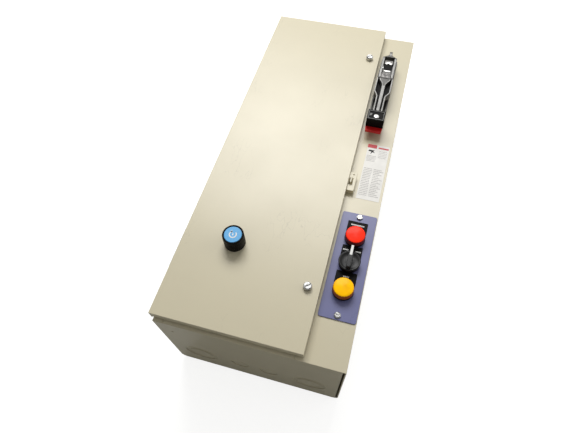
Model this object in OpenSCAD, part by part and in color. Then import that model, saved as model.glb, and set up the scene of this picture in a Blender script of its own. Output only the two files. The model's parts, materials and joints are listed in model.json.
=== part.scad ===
// Enclosed motor protection breaker: a wall-mounted steel box that holds a flange-operated
// breaker, a contactor, an overload relay and a control transformer, with a hinged door.
// The origin is the middle of the four wall holes, on the back face. The box stands along +Z
// and its door faces -Y. All sizes are in millimetres.

/* [Enclosure] */
// Width of the box
box_w = 260; // [240:1:340]
// Height of the box
box_h = 632; // [600:1:800]
// Depth of the box, from the wall to the front flange
box_d = 178; // [146:1:240]
// Thickness of the sheet steel
sheet_t = 1.6; // [1.2:0.1:2]
// Outside radius of the two long bends at the back
back_r = 10; // [4:0.5:16]
// Width of the fixed flange beside the door
flange_w = 66; // [62:1:80]
// Width of the lips on the other sides of the door opening
lip_w = 14; // [10:1:18]
// Gap between the right side and the folded edge of each end cap
cap_gap = 2.6; // [1:0.1:4]
// Radius of the wall holes
wall_hole_r = 4; // [3:0.25:5]
// Distance from the side of the box to the wall holes
wall_hole_in_x = 20; // [17:1:24]
// Distance from the end of the box to the wall holes
wall_hole_in_z = 26; // [24:1:40]
// Radius of the large conduit knockouts
ko_large_r = 25; // [22:0.5:26]
// Radius of the middle disc of the large knockouts
ko_middle_r = 17.45; // [14:0.05:20]
// Radius of the small conduit knockouts
ko_small_r = 14.1; // [11:0.1:15]
// Distance of the large knockouts from the middle of the end cap
ko_large_x = 84; // [78:1:86]
// Distance of the small knockouts from the middle of the end cap
ko_small_x = 22; // [16:1:30]
// Distance of the knockouts from the wall
ko_y = 60; // [40:1:80]

/* [Door] */
// How far the door face stands in front of the flange
door_proud = 14; // [11:0.5:20]
// How far the door reaches past the left side of the box
door_side_over = 3.6; // [3:0.1:6]
// How far the door laps over the flange
door_lap = 10.4; // [8:0.1:12]
// Strip of the box left showing below the door
door_foot = 5; // [2:0.5:10]
// How far the door stands above the top of the box
door_top_over = 1.5; // [0.5:0.5:4]
// Gap between the folded door edges and the flange
door_gap = 1.5; // [0.5:0.1:3]
// Radius of the hinge barrels
hinge_r = 4; // [3.5:0.25:6]
// Radius of the hinge pins
hinge_pin_r = 2.2; // [1.5:0.1:2.6]
// Length of each hinge
hinge_len = 60; // [40:1:90]
// Distance from the end of the box to the middle of each hinge
hinge_in = 105; // [60:1:150]
// Radius of the latch heads
latch_head_r = 6; // [5:0.25:6.5]
// How far the latch heads stand out of the door
latch_head_h = 6.5; // [4:0.5:9]
// Radius of the latch shafts
latch_r = 4; // [3:0.25:4.5]
// Distance from the latches to the edge of the flange
latch_in = 6.5; // [6.5:0.5:12]
// Distance from the end of the box to each latch
latch_end = 87; // [60:1:120]
// How far the latch pawls reach behind the flange
pawl_bite = 5.5; // [4:0.5:6]

/* [Reset button] */
// Distance from the left edge of the door to the reset button
reset_in = 76.2; // [60:0.2:90]
// Height of the reset button above the bottom of the box
reset_up = 131; // [128:1:134]
// Radius of the reset button body
reset_r = 15; // [14:0.25:17]
// How far the reset button body stands out of the door
reset_h = 24; // [18:1:28]
// Radius of the reset button cap
reset_cap_r = 12.5; // [11:0.25:13]
// Travel of the reset button
reset_travel = 4; // [2:0.5:5]
// Radius of the rod behind the reset button
reset_rod_r = 3; // [2:0.25:4]

/* [Control devices] */
// Distance from the right side of the box to the row of devices
device_in = 26.7; // [25:0.1:30]
// Height of the lowest device above the bottom of the box
device_up = 104; // [100:1:120]
// Distance between the devices
device_pitch = 40.8; // [40.8:0.2:60]
// Radius of the device holes
device_hole_r = 11.2; // [10:0.1:12]
// Radius of the device heads
device_head_r = 14.6; // [13.5:0.1:15]
// How far the lenses stand out of the legend plates
lens_h = 14; // [8:0.5:18]
// Width of the control plate
plate_w = 51; // [46:1:52]
// How far the control plate reaches past the upper and lower devices
plate_over = 41.95; // [38:0.05:48]
// Thickness of the control plate
plate_t = 1.5; // [1:0.1:2]
// Depth of the blocks behind the flange
block_d = 40; // [25:1:45]

/* [Handle] */
// Distance from the right side of the box to the middle of the handle
handle_in = 36.5; // [34:0.5:40]
// Distance from the top of the box to the handle pivot
handle_drop = 102; // [100:1:140]
// How far the handle pivot stands in front of the flange
handle_pivot_out = 8; // [7:0.5:10]
// Radius of the handle pivot pin
handle_pin_r = 3; // [2:0.25:4]
// Radius of the hub drum
drum_r = 11; // [10:0.5:12]
// Width of the handle body
handle_w = 25; // [24:0.5:28]
// Length of the lever from the pivot to the grip
lever_len = 121; // [115:1:150]
// Length of the black grip
grip_len = 21; // [18:1:40]
// Length of the red end cap
cap_len = 9; // [6:1:16]
// Swing of the handle, in degrees
handle_swing = 120; // [90:5:120]
// Distance from the handle pivot to the crank pin
crank_len = 26; // [26:0.5:32]
// Radius of the crank pin
crank_pin_r = 2.5; // [2:0.25:3]
// Radius of the two guide rods of the drive yoke
rod_r = 3; // [2.5:0.25:4]

/* [Breaker] */
// Width of the breaker
breaker_w = 104; // [90:1:106]
// Height of the breaker
breaker_h = 152; // [130:1:170]
// Depth of the breaker from the mounting pan
breaker_d = 88; // [80:1:92]
// Distance from the right side of the box to the middle of the breaker
breaker_in = 122; // [120:1:130]
// Distance from the top of the box to the middle of the breaker
breaker_drop = 167; // [160:1:200]
// Distance from the breaker front to the toggle pivot
toggle_deep = 57; // [50:1:60]
// Half thickness of the toggle
toggle_half = 4; // [3:0.25:5]

/* [Starter] */
// Width of the contactor and the overload relay
starter_w = 82; // [70:1:88]
// Height of the contactor
contactor_h = 97; // [85:1:110]
// Depth of the contactor from the mounting pan
contactor_d = 110; // [96:1:114]
// Height of the overload relay
overload_h = 64; // [56:1:70]
// Depth of the overload relay from the mounting pan
overload_d = 104; // [80:1:108]
// Height of the overload relay's lower face above the bottom of the box
overload_up = 96; // [90:1:104]
// Stroke of the contactor's carrier
carrier_stroke = 4; // [2:0.5:5]
// Radius of the power wires
wire_r = 2.6; // [2:0.1:3]

/* [Hidden] */
$fn = 48;
eps = 0.01;          // overrun of a cut past a face
running_fit = 0.05;  // radial clearance of a shaft that turns or slides in its hole
seat_gap = 0.2;      // gap between flat faces of pieces that move on each other
play = 0.5;          // gap beside moving pieces that only have to miss each other

// The box
x_left = -box_w / 2;
x_right = box_w / 2;
z_low = -box_h / 2;
z_high = box_h / 2;
y_flange = -box_d;
y_inside = y_flange + sheet_t;
x_flange = x_right - flange_w;
wall_dx = box_w / 2 - wall_hole_in_x;
wall_dz = box_h / 2 - wall_hole_in_z;
cap_fold = 14;       // height of the folded edges of the end caps
ko_step = 0.5;       // how far each knockout disc is sheared out of the sheet
vent_hole_r = 2.2;   // small holes in the end caps
vent_places = [[x_left + 21, y_flange + 31], [x_right - 25, -30]];

// Screws, nuts and pressed fits
screw_rim = 0.6;     // height of a head's straight rim, as a part of the head
screw_crown = 0.7;   // radius of a head's flat top, as a part of the head
screw_slot_w = 1.2;
screw_slot_z = 0.55; // floor of a head's slot, as a part of the head
screw_gap = 0.1;     // around a screw in its clearance hole
press_gap = 0.02;    // around pieces that are pressed or threaded together
tight_gap = 0.01;    // around a shaft that its hole holds fast
ring_nut_t = 4;
chamfer = 0.8;       // on the front edges of the round bezels

// The mounting pan
pan_t = 2;
stud_out = 7;        // how far the pan's studs stand out of the pan
pan_nut_t = 4;
pan_gap = 10;        // air behind the pan
pan_side = 30;       // distance from the pan to the side of the box
pan_end = 26;        // distance from the pan to the end of the box
y_pan = -sheet_t - pan_gap - pan_t;
standoff_r = 5;
stud_r = 2.5;
stud_in = 10;        // distance from the pan's edge to a stud

// The door
y_door = y_flange - door_proud;
y_door_back = y_door + sheet_t;
door_x0 = x_left - door_side_over;
door_x1 = x_flange + door_lap;
door_z0 = z_low + door_foot;
door_z1 = z_high + door_top_over;
leaf_t = 1.6;
leaf_w = 26;         // width of the leaves on the side of the box
hinge_x = x_left - leaf_t - 0.6 - hinge_r;
hinge_y = y_flange + 8;
left_fold_y = hinge_y - hinge_r - 2;
knuckle_gap = 0.4;
latch_x = x_flange - latch_in;
latch_zs = [z_high - latch_end + 5, z_low + latch_end + 5];
pawl_t = 2.5;
pawl_half = 5;
pawl_len = latch_in + pawl_bite;
pawl_y = y_inside + 1;
nut_h = 3;
latch_crown_h = 1.5; // height of the sloped crown of a latch head
latch_crown_in = 1.3;
latch_slot_w = 1.8;
latch_slot_d = 2.4;
latch_slot_turn = 40;
pawl_hub_t = 1.2;    // wall of the pawl around the latch shaft

// The hasp
hasp_up = 32.95;     // from the top of the control plate
hasp_h = 34.5;
hasp_reach = 11.5;   // from the door's edge
hasp_y = y_flange - 9;
hasp_t = 1.6;
hasp_room = 1.8;     // beside the staple in the hasp's slot
hasp_hole_in = 6.5;
hasp_hole_down = 5;
hasp_hole_r = 1.6;
staple_t = 2;
staple_up = 12;      // from the lower end of the hasp
staple_h = 10;
staple_out = 14;
staple_in = 4;       // from the door's edge to the middle of the staple
staple_foot = 8;
staple_foot_t = 1.5;
staple_hole_in = 3.2;
staple_hole_r = 2.2;

// The reset button
reset_x = door_x0 + reset_in;
reset_z = z_low + reset_up;
reset_stem_r = 5;
reset_floor = 3;
reset_face = 0.6;    // how far the cap lies below the rim
reset_cap_t = 5;
reset_tail = 14;     // length of the threaded neck behind the door face
plunger_out = 12;
plunger_r = 4;
rod_gap = 0.3;
plunger_in = 8;      // how deep the plunger sits in the overload relay
bush_h = 6;          // floor of the bezel that guides the cap's stem
spring_wire_r = 0.7;
spring_coil_r = 8.6;
spring_turns = 4;
spring_steps = 16;   // points of the coil in each turn
spring_end = 0.2;    // gap at each end of the coil

// The control devices
device_x = x_right - device_in;
device_zs = [for (i = [0:2]) z_low + device_up + i * device_pitch];
legend_t = 1;
legend_half = 14.5;
legend_above = 28;
legend_eye_r = device_hole_r + 0.7;
legend_low = 9;      // lower edge of the printed part, above the device
plate_round = 3;
plate_screw_in = 6.25;
plate_screw_r = 2;
y_plate = y_flange - plate_t;
y_legend = y_plate - legend_t;
plate_z = device_zs[1] + 0.5;
plate_x = device_x + 0.2;
plate_h = 2 * (device_pitch + plate_over);
plate_screw_z = plate_h / 2 - plate_screw_in;
plate_top = plate_z + plate_h / 2;
hasp_z0 = plate_top + hasp_up;
staple_z = hasp_z0 + staple_up;
label_t = 0.25;
label_w = 35;
label_h = 109;
label_x = x_right - label_w - 4;
label_z = plate_top + 27.95;
neck_r = device_hole_r - 0.2;
collar_h = 11.5;     // from the flange's inner face to the device blocks
pilot_ring_h = 4;
selector_ring_h = 7;
lens_r = device_head_r - 1.4;
stem_r = 5;
knob_disc_h = 3;
knob_bar_h = 9;
knob_bar_w = 8;
knob_in = 1.6;       // the knob is this much smaller than the bezels
knob_stem = 12;
lens_slope_h = 2.5;
lens_slope_in = 2.2;
lamp_bore_r = 8;
device_block_w = 26;
device_block_h = 30;
device_nut_r = 15;

// The handle
handle_x = x_right - handle_in;
pivot_y = y_flange - handle_pivot_out;
pivot_z = z_high - handle_drop;
cheek_t = 2;
cheek_in = handle_w / 2 - cheek_t;
slot_half = 27;
foot_t = 4;
body_out = 14;       // front of the handle body, from the pivot
body_low = 30;       // from the pivot down to the lower end of the body
body_top = 22.5;     // from the pivot up to the body's shoulders
bar_in = 8.6;        // inner edge of the two bars at the body's front
bar_front_t = 2.5;   // thickness of those bars
tongue_top = 48;     // from the pivot up to the tip of the body's tongue
foot_low = 2;        // how far the foot reaches past the lever
foot_top = 36;       // from the pivot up to the top of the foot
foot_over = 1.5;     // how far the foot stands out beside the body
foot_rim = 2.5;      // width of the foot's raised rim
neck_half = 4;       // half width of the body's sloped shoulders at the top
neck_rise = 5;
tongue_base = 2.6;   // half width of the body's tongue at its root
tongue_rise = 10;
tongue_tip = 2.4;    // half width of the tongue at its tip
tongue_step = 6;     // from the shoulders up to the thinner part of the tongue
lever_low = 6;       // how far the lever reaches into the grip
block_top = 5;       // how far the lever's block reaches above the pivot
block_side = 15;     // lower end of the block's free side beside the crank
block_step = 20;
cheek_rise = 14;     // from the pivot down to the top of the lever's cheeks
cheek_h = 9;
funnel_half = 10;    // half width of the funnel where the stem meets the block
funnel_step = 8.6;
funnel_step_z = 6;
funnel_len = 17;
neck_gap = 0.1;      // between the crank and the lever's drum
crank_t = 2.8;
crank_end_r = 5;
drum_gap = 0.3;
web_y = 6;           // back of the lever, from the pivot
web_t = 3;
block_t = 7;         // depth of the lever's block around the drum
rail_h = 12;         // depth of the lever's rails
rail_t = 1.8;
stem_half = 2.1;
tongue_half = 8.2;   // half width of the lever where it passes between the bars
hip_z = 34;          // from the pivot down to where the lever widens
shoulder_z = 70;     // from the pivot down to where the lever narrows again
wide_half = 13.4;
narrow_half = 7.4;
grip_half = 14;
grip_out = 25;       // front of the grip, from the pivot
cap_out = 7.5;       // front of the red cap, from the pivot
cap_back = 3;        // back of the grip and the red cap, from the pivot
cap_over = 9;        // how far the red cap reaches under the grip
cap_gap_x = 0.2;     // the red cap is this much narrower on each side
cap_taper = 1.2;
frame_in = 2;        // width of the raised frame on the grip's face
frame_low = 2.5;
crank_hub_in = 0.4;  // the crank's hub is this much smaller than the drum
crank_half_w = 4;
pin_over = 0.8;      // how far the pivot pin stands out at each side
swing_past = handle_swing - 90;
lever_room = (web_y + block_t + body_out * sin(swing_past)) / cos(swing_past) + play;
crank_half = handle_swing / 2;
drive_half = crank_len * sin(crank_half);

// The breaker, its toggle and the yoke that drives it
breaker_x = x_right - breaker_in;
breaker_z = z_high - breaker_drop;
y_breaker = y_pan - breaker_d;
toggle_y = y_breaker + toggle_deep;
base_d = 56;         // depth of the breaker's base
y_split = y_pan - base_d;
toggle_wide = 5;
yoke_gap = 11;       // from the breaker's front to the yoke
yoke_t = 3;
yoke_y = y_breaker - yoke_gap;
yoke_side = 6;       // how far the yoke reaches past the left rod
rib_half = 3;
fork_deep = 1.5;     // fork behind the crank pin at its deepest
toggle_reach = toggle_deep + yoke_gap + yoke_t / 2;
toggle_swing = atan(drive_half / toggle_reach);
toggle_tip = toggle_deep + yoke_gap + yoke_t + 8;
shield_r = toggle_deep - 4;
shield_span = 38;
shield_t = 4;
shield_over = 3;     // how far the shield reaches beside the toggle
hub_r = 7;
hub_over = 2.8;
trunnion_r = 3;
trunnion_over = 6;
room_gap = 0.5;      // beside the shield in its space
room_deep = 10;      // where that space ends, behind the toggle's pivot
room_big = 80;
lug_xs = [for (i = [-1:1]) breaker_x + i * breaker_w / 3];
lug_w = 20;
lug_h = 16;
lug_bore_r = 3.2;
lug_y = y_split + 13;
lug_in = 4;          // from the breaker's end to a lug
lug_d = 24;
lug_screw_r = 3.6;
lug_slot = [8, 1.4];
tool_hole_r = 4.5;
bar_h = 8;
bar_half = breaker_w / 2 - 6;
leg_t = 6;
bar_y0 = yoke_y - yoke_t - 10.5;
bar_y1 = yoke_y - yoke_t - 1;
bar_end = breaker_h / 2 - 11;
rod_x = 30;
rod_y = bar_y0 / 2 + bar_y1 / 2;
boss_r = rod_r + 1.6;
boss_h = 18;
fork_x0 = handle_x - 23;
fork_x1 = handle_x - 13;
fork_half = crank_pin_r + 0.0685 * crank_len + play;
fork_t = 4;
pin_in = 0.6;        // the crank pin's tip from the fork's left face
dial_r = 6;
dial_h = 4.8;
dial_seat = 5;
dial_in = 3.8;       // from the front face to the bottom of a dial
dial_slot = [1.6, 1.5];
cover_shank_r = 2;
dial_down = 40;      // from the toggle pivot down to the trip dial
cover_screw_r = 4;
cover_screw_x = breaker_w / 6;
cover_screw_z = breaker_h / 2 - 30;

// The contactor and the overload relay
starter_x = reset_x - 1.6;
overload_z0 = z_low + overload_up;
overload_z1 = overload_z0 + overload_h;
y_overload = y_pan - overload_d;
contactor_z0 = overload_z1 + 5;
contactor_z1 = contactor_z0 + contactor_h;
y_contactor = y_pan - contactor_d;
y_contactor_split = y_pan - 46;
contactor_mid = (contactor_z0 + contactor_z1) / 2;
wall = 4;
pole_pitch = starter_w / 3 - 1.5;
pole_xs = [for (i = [-1:1]) starter_x + i * pole_pitch];
pole_half = 9;
pole_plate = [14, 10];
pole_screw_r = 4.4;
carrier_gap = 2;     // behind the carrier when it is pulled in
carrier_t = 8;
carrier_w = 60;
tab_w = 24;
tab_h = 14;
cavity_d = 24;
coil_w = 56;
coil_h = 60;
coil_bore_r = 9;
overload_dial_x = 26;
notch_z = 14;
terminal_y = y_pan - 76;

// The control transformer, fuses, terminals and wires
trafo_x = x_right - 64;
trafo_z = z_low + 85;
core_w = 80;
core_h = 68;
core_y0 = y_pan - 46;
core_y1 = y_pan - 16;
limb = 12;
window = 16;
core_foot = 4;
window_h = 44;
coil_room = 0.5;     // between the coil and the core's window at each end
coil_front = 12;
coil_back = 10;
fuse_block_w = 64;
fuse_block_h = 40;
fuse_block_d = 26;
fuse_bed = [48, 14, 10]; // length and width of a fuse's bed, and its floor above the pan
fuse_half_pitch = 9;
fuse_axis = 18;      // from the pan
fuse_len = 47.8;
fuse_r = 5;
fuse_cap_len = 10;
fuse_cap_r = 5.6;
strip_d = 26;
strip_h = 26;
strip_end = 3;
strip_screw_z = 7;
strip_hole = [14, 2.8];  // floor of a hole above the pan, and its radius
fuse_z = z_low + 158;
fuse_x = x_right - 70;
strip_z = z_low + 212;
strip_x = x_right - 66;
strip_ways = 7;
strip_pitch = 9;
control_wire_r = 1.2;
ground_z = z_low + 66;
ground_d = 9;
ground_len = 60;
ground_h = 12;
ground_in = 9;       // from the end of the bar to its first hole
ground_pitch = 14;
ground_hole_r = 2.2;

// ---------------------------------------------------------------- helpers
module block(x0, x1, y0, y1, z0, z1) {
    translate([x0, y0, z0]) cube([x1 - x0, y1 - y0, z1 - z0]);
}

// Local +Z points out of the front, local X and Y are the box's X and Z
module facing(x, y, z) {
    translate([x, y, z]) rotate([90, 0, 0]) children();
}

// Local +Z points along the box's +X, from the given point
module crosswise(x, y, z) {
    translate([x, y, z]) rotate([0, 90, 0]) children();
}

module rounded_plate(w, h, r, t) {
    linear_extrude(t) {
        square([w - 2 * r, h], center = true);
        square([w, h - 2 * r], center = true);
        for (x = [-1, 1], y = [-1, 1]) {
            translate([x * (w / 2 - r), y * (h / 2 - r)]) circle(r);
        }
    }
}

// Points of a curve that leaves a along da and reaches b against db
function curve(a, da, b, db, n) = [
    for (i = [0:n]) let (t = i / n, s = 1 - t)
        s * s * s * a + 3 * s * s * t * (a + da) + 3 * s * t * t * (b + db) + t * t * t * b
];
function unit(v) = v / norm(v);

// A round tube of radius r through the points of a path
module tube(path, r, sides = 8) {
    last = len(path) - 1;
    rings = [for (i = [0:last])
        let (
            along = unit(path[min(i + 1, last)] - path[max(i - 1, 0)]),
            side = unit(cross(along, abs(along.y) < 0.9 ? [0, 1, 0] : [1, 0, 0])),
            up = cross(side, along)
        )
        for (k = [0:sides - 1])
            path[i] + r * (cos(k * 360 / sides) * side + sin(k * 360 / sides) * up)
    ];
    skin = [for (i = [0:last - 1], k = [0:sides - 1])
        let (n = (k + 1) % sides)
        [i * sides + k, i * sides + n, (i + 1) * sides + n, (i + 1) * sides + k]
    ];
    ends = [
        [for (k = [sides - 1:-1:0]) k],
        [for (k = [0:sides - 1]) last * sides + k]
    ];
    polyhedron(points = rings, faces = concat(skin, ends), convexity = 6);
}

// A pan head screw, drawn from the face it clamps, with its head outside
module screw(head_r, head_h, shank_r, shank_len) {
    rim_h = head_h * screw_rim;
    difference() {
        union() {
            cylinder(h = rim_h, r = head_r);
            translate([0, 0, rim_h]) cylinder(h = head_h - rim_h, r1 = head_r, r2 = head_r * screw_crown);
            translate([0, 0, -shank_len]) cylinder(h = shank_len + eps, r = shank_r);
        }
        translate([-head_r, -screw_slot_w / 2, head_h * screw_slot_z])
            cube([2 * head_r, screw_slot_w, head_h]);
    }
}

// ---------------------------------------------------------------- enclosure
// Plan of the box with rounded back corners, shrunk all round by a thickness
module box_plan(shrink) {
    r = back_r - shrink;
    half = box_w / 2 - shrink;
    translate([-half, y_flange + shrink]) square([2 * half, box_d - shrink - back_r]);
    translate([-half + r, y_flange + shrink]) square([2 * (half - r), box_d - 2 * shrink]);
    for (side = [-1, 1]) translate([side * (half - r), -back_r]) circle(r);
}

module enclosure_wrap() {
    color("wheat") difference() {
        translate([0, 0, z_low]) linear_extrude(box_h) difference() {
            box_plan(0);
            box_plan(sheet_t);
            translate([x_left + lip_w, y_flange - 1])
                square([x_flange - x_left - lip_w, sheet_t + 2]);
        }
        for (x = [-1, 1], z = [-1, 1]) {
            facing(x * wall_dx, 1, z * wall_dz) cylinder(h = sheet_t + 2, r = wall_hole_r);
        }
        for (z = device_zs) facing(device_x, y_inside + 1, z) {
            cylinder(h = sheet_t + 2, r = device_hole_r);
        }
        for (z = [-1, 1]) facing(plate_x, y_inside + 1, plate_z + z * plate_screw_z) {
            cylinder(h = sheet_t + 2, r = plate_screw_r + screw_gap);
        }
        block(handle_x - cheek_in, handle_x + cheek_in, y_flange - 1, y_inside + 1,
            pivot_z - slot_half, pivot_z + slot_half);
        block(door_x1 + staple_in - staple_t / 2, door_x1 + staple_in + staple_t / 2,
            y_flange - 1, y_inside + 1, staple_z, staple_z + staple_h);
    }
}

// Knockout places as [x, radius], the large ones first
function knockouts() = [
    [-ko_large_x, ko_large_r], [ko_large_x, ko_large_r],
    [-ko_small_x, ko_small_r], [ko_small_x, ko_small_r]
];

// One end cap as it lies at the bottom; the right edge is folded clear of the side
module end_cap() {
    xr = x_right - sheet_t - cap_gap;
    xl = x_left + sheet_t;
    difference() {
        union() {
            intersection() {
                translate([0, 0, z_low]) linear_extrude(cap_fold) difference() {
                    box_plan(sheet_t);
                    box_plan(2 * sheet_t);
                    translate([x_left, y_flange]) square([box_w, 2 * sheet_t]);
                }
                block(xl - 1, x_right - back_r - sheet_t, y_flange, 1, z_low - 1, z_high);
            }
            translate([0, 0, z_low]) linear_extrude(sheet_t) difference() {
                box_plan(sheet_t);
                translate([xr, y_flange - 1]) square([box_w, box_d + 2]);
            }
            block(xr - sheet_t, xr, y_inside, -back_r, z_low, z_low + cap_fold);
            block(x_left + lip_w + 0.3, x_flange - 0.3, y_flange, y_inside + eps,
                z_low, z_low + lip_w);
        }
        for (k = knockouts()) translate([k[0], -ko_y, z_low - 1]) {
            cylinder(h = sheet_t + 2, r = k[1]);
        }
        for (p = vent_places) translate([p.x, p.y, z_low - 1]) {
            cylinder(h = sheet_t + 2, r = vent_hole_r);
        }
    }
}

module bottom_end_cap() {
    color("wheat") end_cap();
}

module top_end_cap() {
    color("wheat") mirror([0, 0, 1]) end_cap();
}

module conduit_knockouts() {
    color("wheat") for (side = [0, 1]) mirror([0, 0, side]) {
        for (k = knockouts()) translate([k[0], -ko_y, z_low]) {
            if (k[1] == ko_large_r) {
                translate([0, 0, ko_step]) difference() {
                    cylinder(h = sheet_t, r = ko_large_r - press_gap);
                    translate([0, 0, -1]) cylinder(h = sheet_t + 2, r = ko_middle_r);
                }
                cylinder(h = sheet_t, r = ko_middle_r - press_gap);
            } else {
                translate([0, 0, ko_step]) cylinder(h = sheet_t, r = ko_small_r - press_gap);
            }
        }
    }
}

module mounting_pan() {
    w = box_w - 2 * pan_side;
    h = box_h - 2 * pan_end;
    color("gainsboro") difference() {
        block(-w / 2, w / 2, y_pan, y_pan + pan_t, -h / 2, h / 2);
        for (x = [-1, 1], z = [-1, 1]) {
            facing(x * (w / 2 - stud_in), y_pan + pan_t + 1, z * (h / 2 - stud_in))
                cylinder(h = pan_t + 2, r = stud_r + running_fit);
        }
    }
}

// Places of the four studs that hold the pan
function stud_places() = [for (x = [-1, 1], z = [-1, 1])
    [x * (box_w / 2 - pan_side - stud_in), z * (box_h / 2 - pan_end - stud_in)]
];

module pan_standoffs() {
    color("silver") for (p = stud_places()) facing(p.x, -sheet_t, p.y) {
        cylinder(h = pan_gap, r = standoff_r);
        cylinder(h = pan_gap + pan_t + stud_out, r = stud_r);
    }
}

module panel_fasteners() {
    color("silver") {
        for (p = stud_places()) facing(p.x, y_pan, p.y) difference() {
            cylinder(h = pan_nut_t, r = standoff_r, $fn = 6);
            translate([0, 0, -1]) cylinder(h = pan_nut_t + 2, r = stud_r + press_gap);
        }
        for (x = [-1, 1], z = [-1, 1]) {
            facing(breaker_x + x * cover_screw_x, y_breaker, breaker_z + z * cover_screw_z)
                screw(cover_screw_r, 3, cover_shank_r, 6);
        }
    }
}

module ground_bar() {
    x0 = x_left + pan_side + 2;
    places = [for (i = [0:3]) x0 + ground_in + i * ground_pitch];
    color("goldenrod") difference() {
        union() {
            block(x0, x0 + ground_len, y_pan - ground_d, y_pan,
                ground_z - ground_h / 2, ground_z + ground_h / 2);
            for (x = places) facing(x, y_pan - ground_d, ground_z) screw(4, 3, 1, 1);
        }
        for (x = places) translate([x, y_pan - ground_d / 2, ground_z - ground_h / 2 - 1]) {
            cylinder(h = ground_h + 2, r = ground_hole_r);
        }
    }
}

// ---------------------------------------------------------------- door
module door_panel() {
    fold_y = y_flange - door_gap;
    color("wheat") difference() {
        union() {
            block(door_x0, door_x1, y_door, y_door_back, door_z0, door_z1);
            block(door_x0, door_x0 + sheet_t, y_door, left_fold_y, door_z0, door_z1);
            block(door_x1 - sheet_t, door_x1, y_door, fold_y, door_z0, door_z1);
            block(door_x0, door_x1, y_door, fold_y, door_z0, door_z0 + sheet_t);
            block(door_x0, door_x1, y_door, fold_y, door_z1 - sheet_t, door_z1);
        }
        for (z = latch_zs) facing(latch_x, y_door_back + 1, z) {
            cylinder(h = sheet_t + 2, r = latch_r + running_fit);
        }
        facing(reset_x, y_door_back + 1, reset_z) cylinder(h = sheet_t + 2, r = device_hole_r);
    }
}

// Lower end of knuckle i of a hinge whose middle is at z
function knuckle_z(z, i) = z - hinge_len / 2 + i * hinge_len / 3;
hinge_zs = [z_high - hinge_in, z_low + hinge_in];

module knuckle(z, i, bore) {
    h = hinge_len / 3 - knuckle_gap;
    difference() {
        union() {
            translate([hinge_x, hinge_y, knuckle_z(z, i)]) cylinder(h = h, r = hinge_r);
            children();
        }
        translate([hinge_x, hinge_y, knuckle_z(z, i) - 1]) cylinder(h = h + 2, r = bore);
    }
}

module hinge_box_leaves() {
    h = hinge_len / 3 - knuckle_gap;
    color("silver") for (z = hinge_zs) {
        for (i = [0, 2]) knuckle(z, i, hinge_pin_r) {
            block(hinge_x, x_left, hinge_y, hinge_y + hinge_r, knuckle_z(z, i), knuckle_z(z, i) + h);
        }
        block(x_left - leaf_t, x_left, hinge_y, hinge_y + leaf_w,
            z - hinge_len / 2, z + hinge_len / 2 - knuckle_gap);
    }
}

module hinge_door_leaves() {
    h = hinge_len / 3 - knuckle_gap;
    color("silver") for (z = hinge_zs) {
        knuckle(z, 1, hinge_pin_r + running_fit) {
            block(door_x0 - leaf_t, door_x0, left_fold_y - 1, hinge_y - hinge_pin_r - 0.5,
                knuckle_z(z, 1), knuckle_z(z, 1) + h);
        }
        block(door_x0 - leaf_t, door_x0, y_door + 3, left_fold_y,
            z - hinge_len / 2, z + hinge_len / 2 - knuckle_gap);
    }
}

module hinge_pins() {
    color("gray") for (z = hinge_zs) translate([hinge_x, hinge_y, 0]) {
        translate([0, 0, z - hinge_len / 2 - 1]) cylinder(h = hinge_len + 2, r = hinge_pin_r);
        translate([0, 0, z + hinge_len / 2 - knuckle_gap]) cylinder(h = 2, r = hinge_r - 0.5);
    }
}

module latch_stud(z) {
    end = pawl_y + pawl_t - y_door;
    color("silver") facing(latch_x, y_door, z) difference() {
        union() {
            translate([0, 0, seat_gap]) cylinder(h = latch_head_h - seat_gap - latch_crown_h, r = latch_head_r);
            translate([0, 0, latch_head_h - latch_crown_h])
                cylinder(h = latch_crown_h, r1 = latch_head_r, r2 = latch_head_r - latch_crown_in);
            translate([0, 0, -end]) cylinder(h = end + 1, r = latch_r);
            translate([0, 0, -end - nut_h]) cylinder(h = nut_h, r = latch_r + 1);
        }
        rotate([0, 0, latch_slot_turn])
            translate([-latch_head_r - 1, -latch_slot_w / 2, latch_head_h - latch_slot_d])
            cube([2 * latch_head_r + 2, latch_slot_w, latch_slot_d + 1]);
    }
}

module latch_pawl(z) {
    color("darkgray") facing(latch_x, pawl_y, z) translate([0, 0, -pawl_t]) difference() {
        union() {
            cylinder(h = pawl_t, r = latch_r + pawl_hub_t);
            translate([-pawl_half, -pawl_len, 0]) cube([2 * pawl_half, pawl_len, pawl_t]);
        }
        translate([0, 0, -1]) cylinder(h = pawl_t + 2, r = latch_r + tight_gap);
    }
}

module upper_latch_stud() { latch_stud(latch_zs[0]); }
module upper_latch_pawl() { latch_pawl(latch_zs[0]); }
module lower_latch_stud() { latch_stud(latch_zs[1]); }
module lower_latch_pawl() { latch_pawl(latch_zs[1]); }

module door_hasp() {
    x0 = door_x1;
    x1 = door_x1 + hasp_reach;
    slot_x = staple_t / 2 + hasp_room;
    color("wheat") difference() {
        union() {
            block(x0, x0 + hasp_t, hasp_y, y_flange - door_gap, hasp_z0, hasp_z0 + hasp_h);
            block(x0, x1, hasp_y, hasp_y + hasp_t, hasp_z0, hasp_z0 + hasp_h);
            block(x0, x1, hasp_y, y_flange - door_gap, hasp_z0, hasp_z0 + hasp_t);
        }
        block(x0 + staple_in - slot_x, x0 + staple_in + slot_x, hasp_y - 1, hasp_y + hasp_t + 1,
            staple_z - 1.5, staple_z + staple_h + 1.5);
        facing(x0 + hasp_hole_in, hasp_y + hasp_t + 1, hasp_z0 + hasp_h - hasp_hole_down) {
            cylinder(h = hasp_t + 2, r = hasp_hole_r);
        }
    }
}

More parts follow.
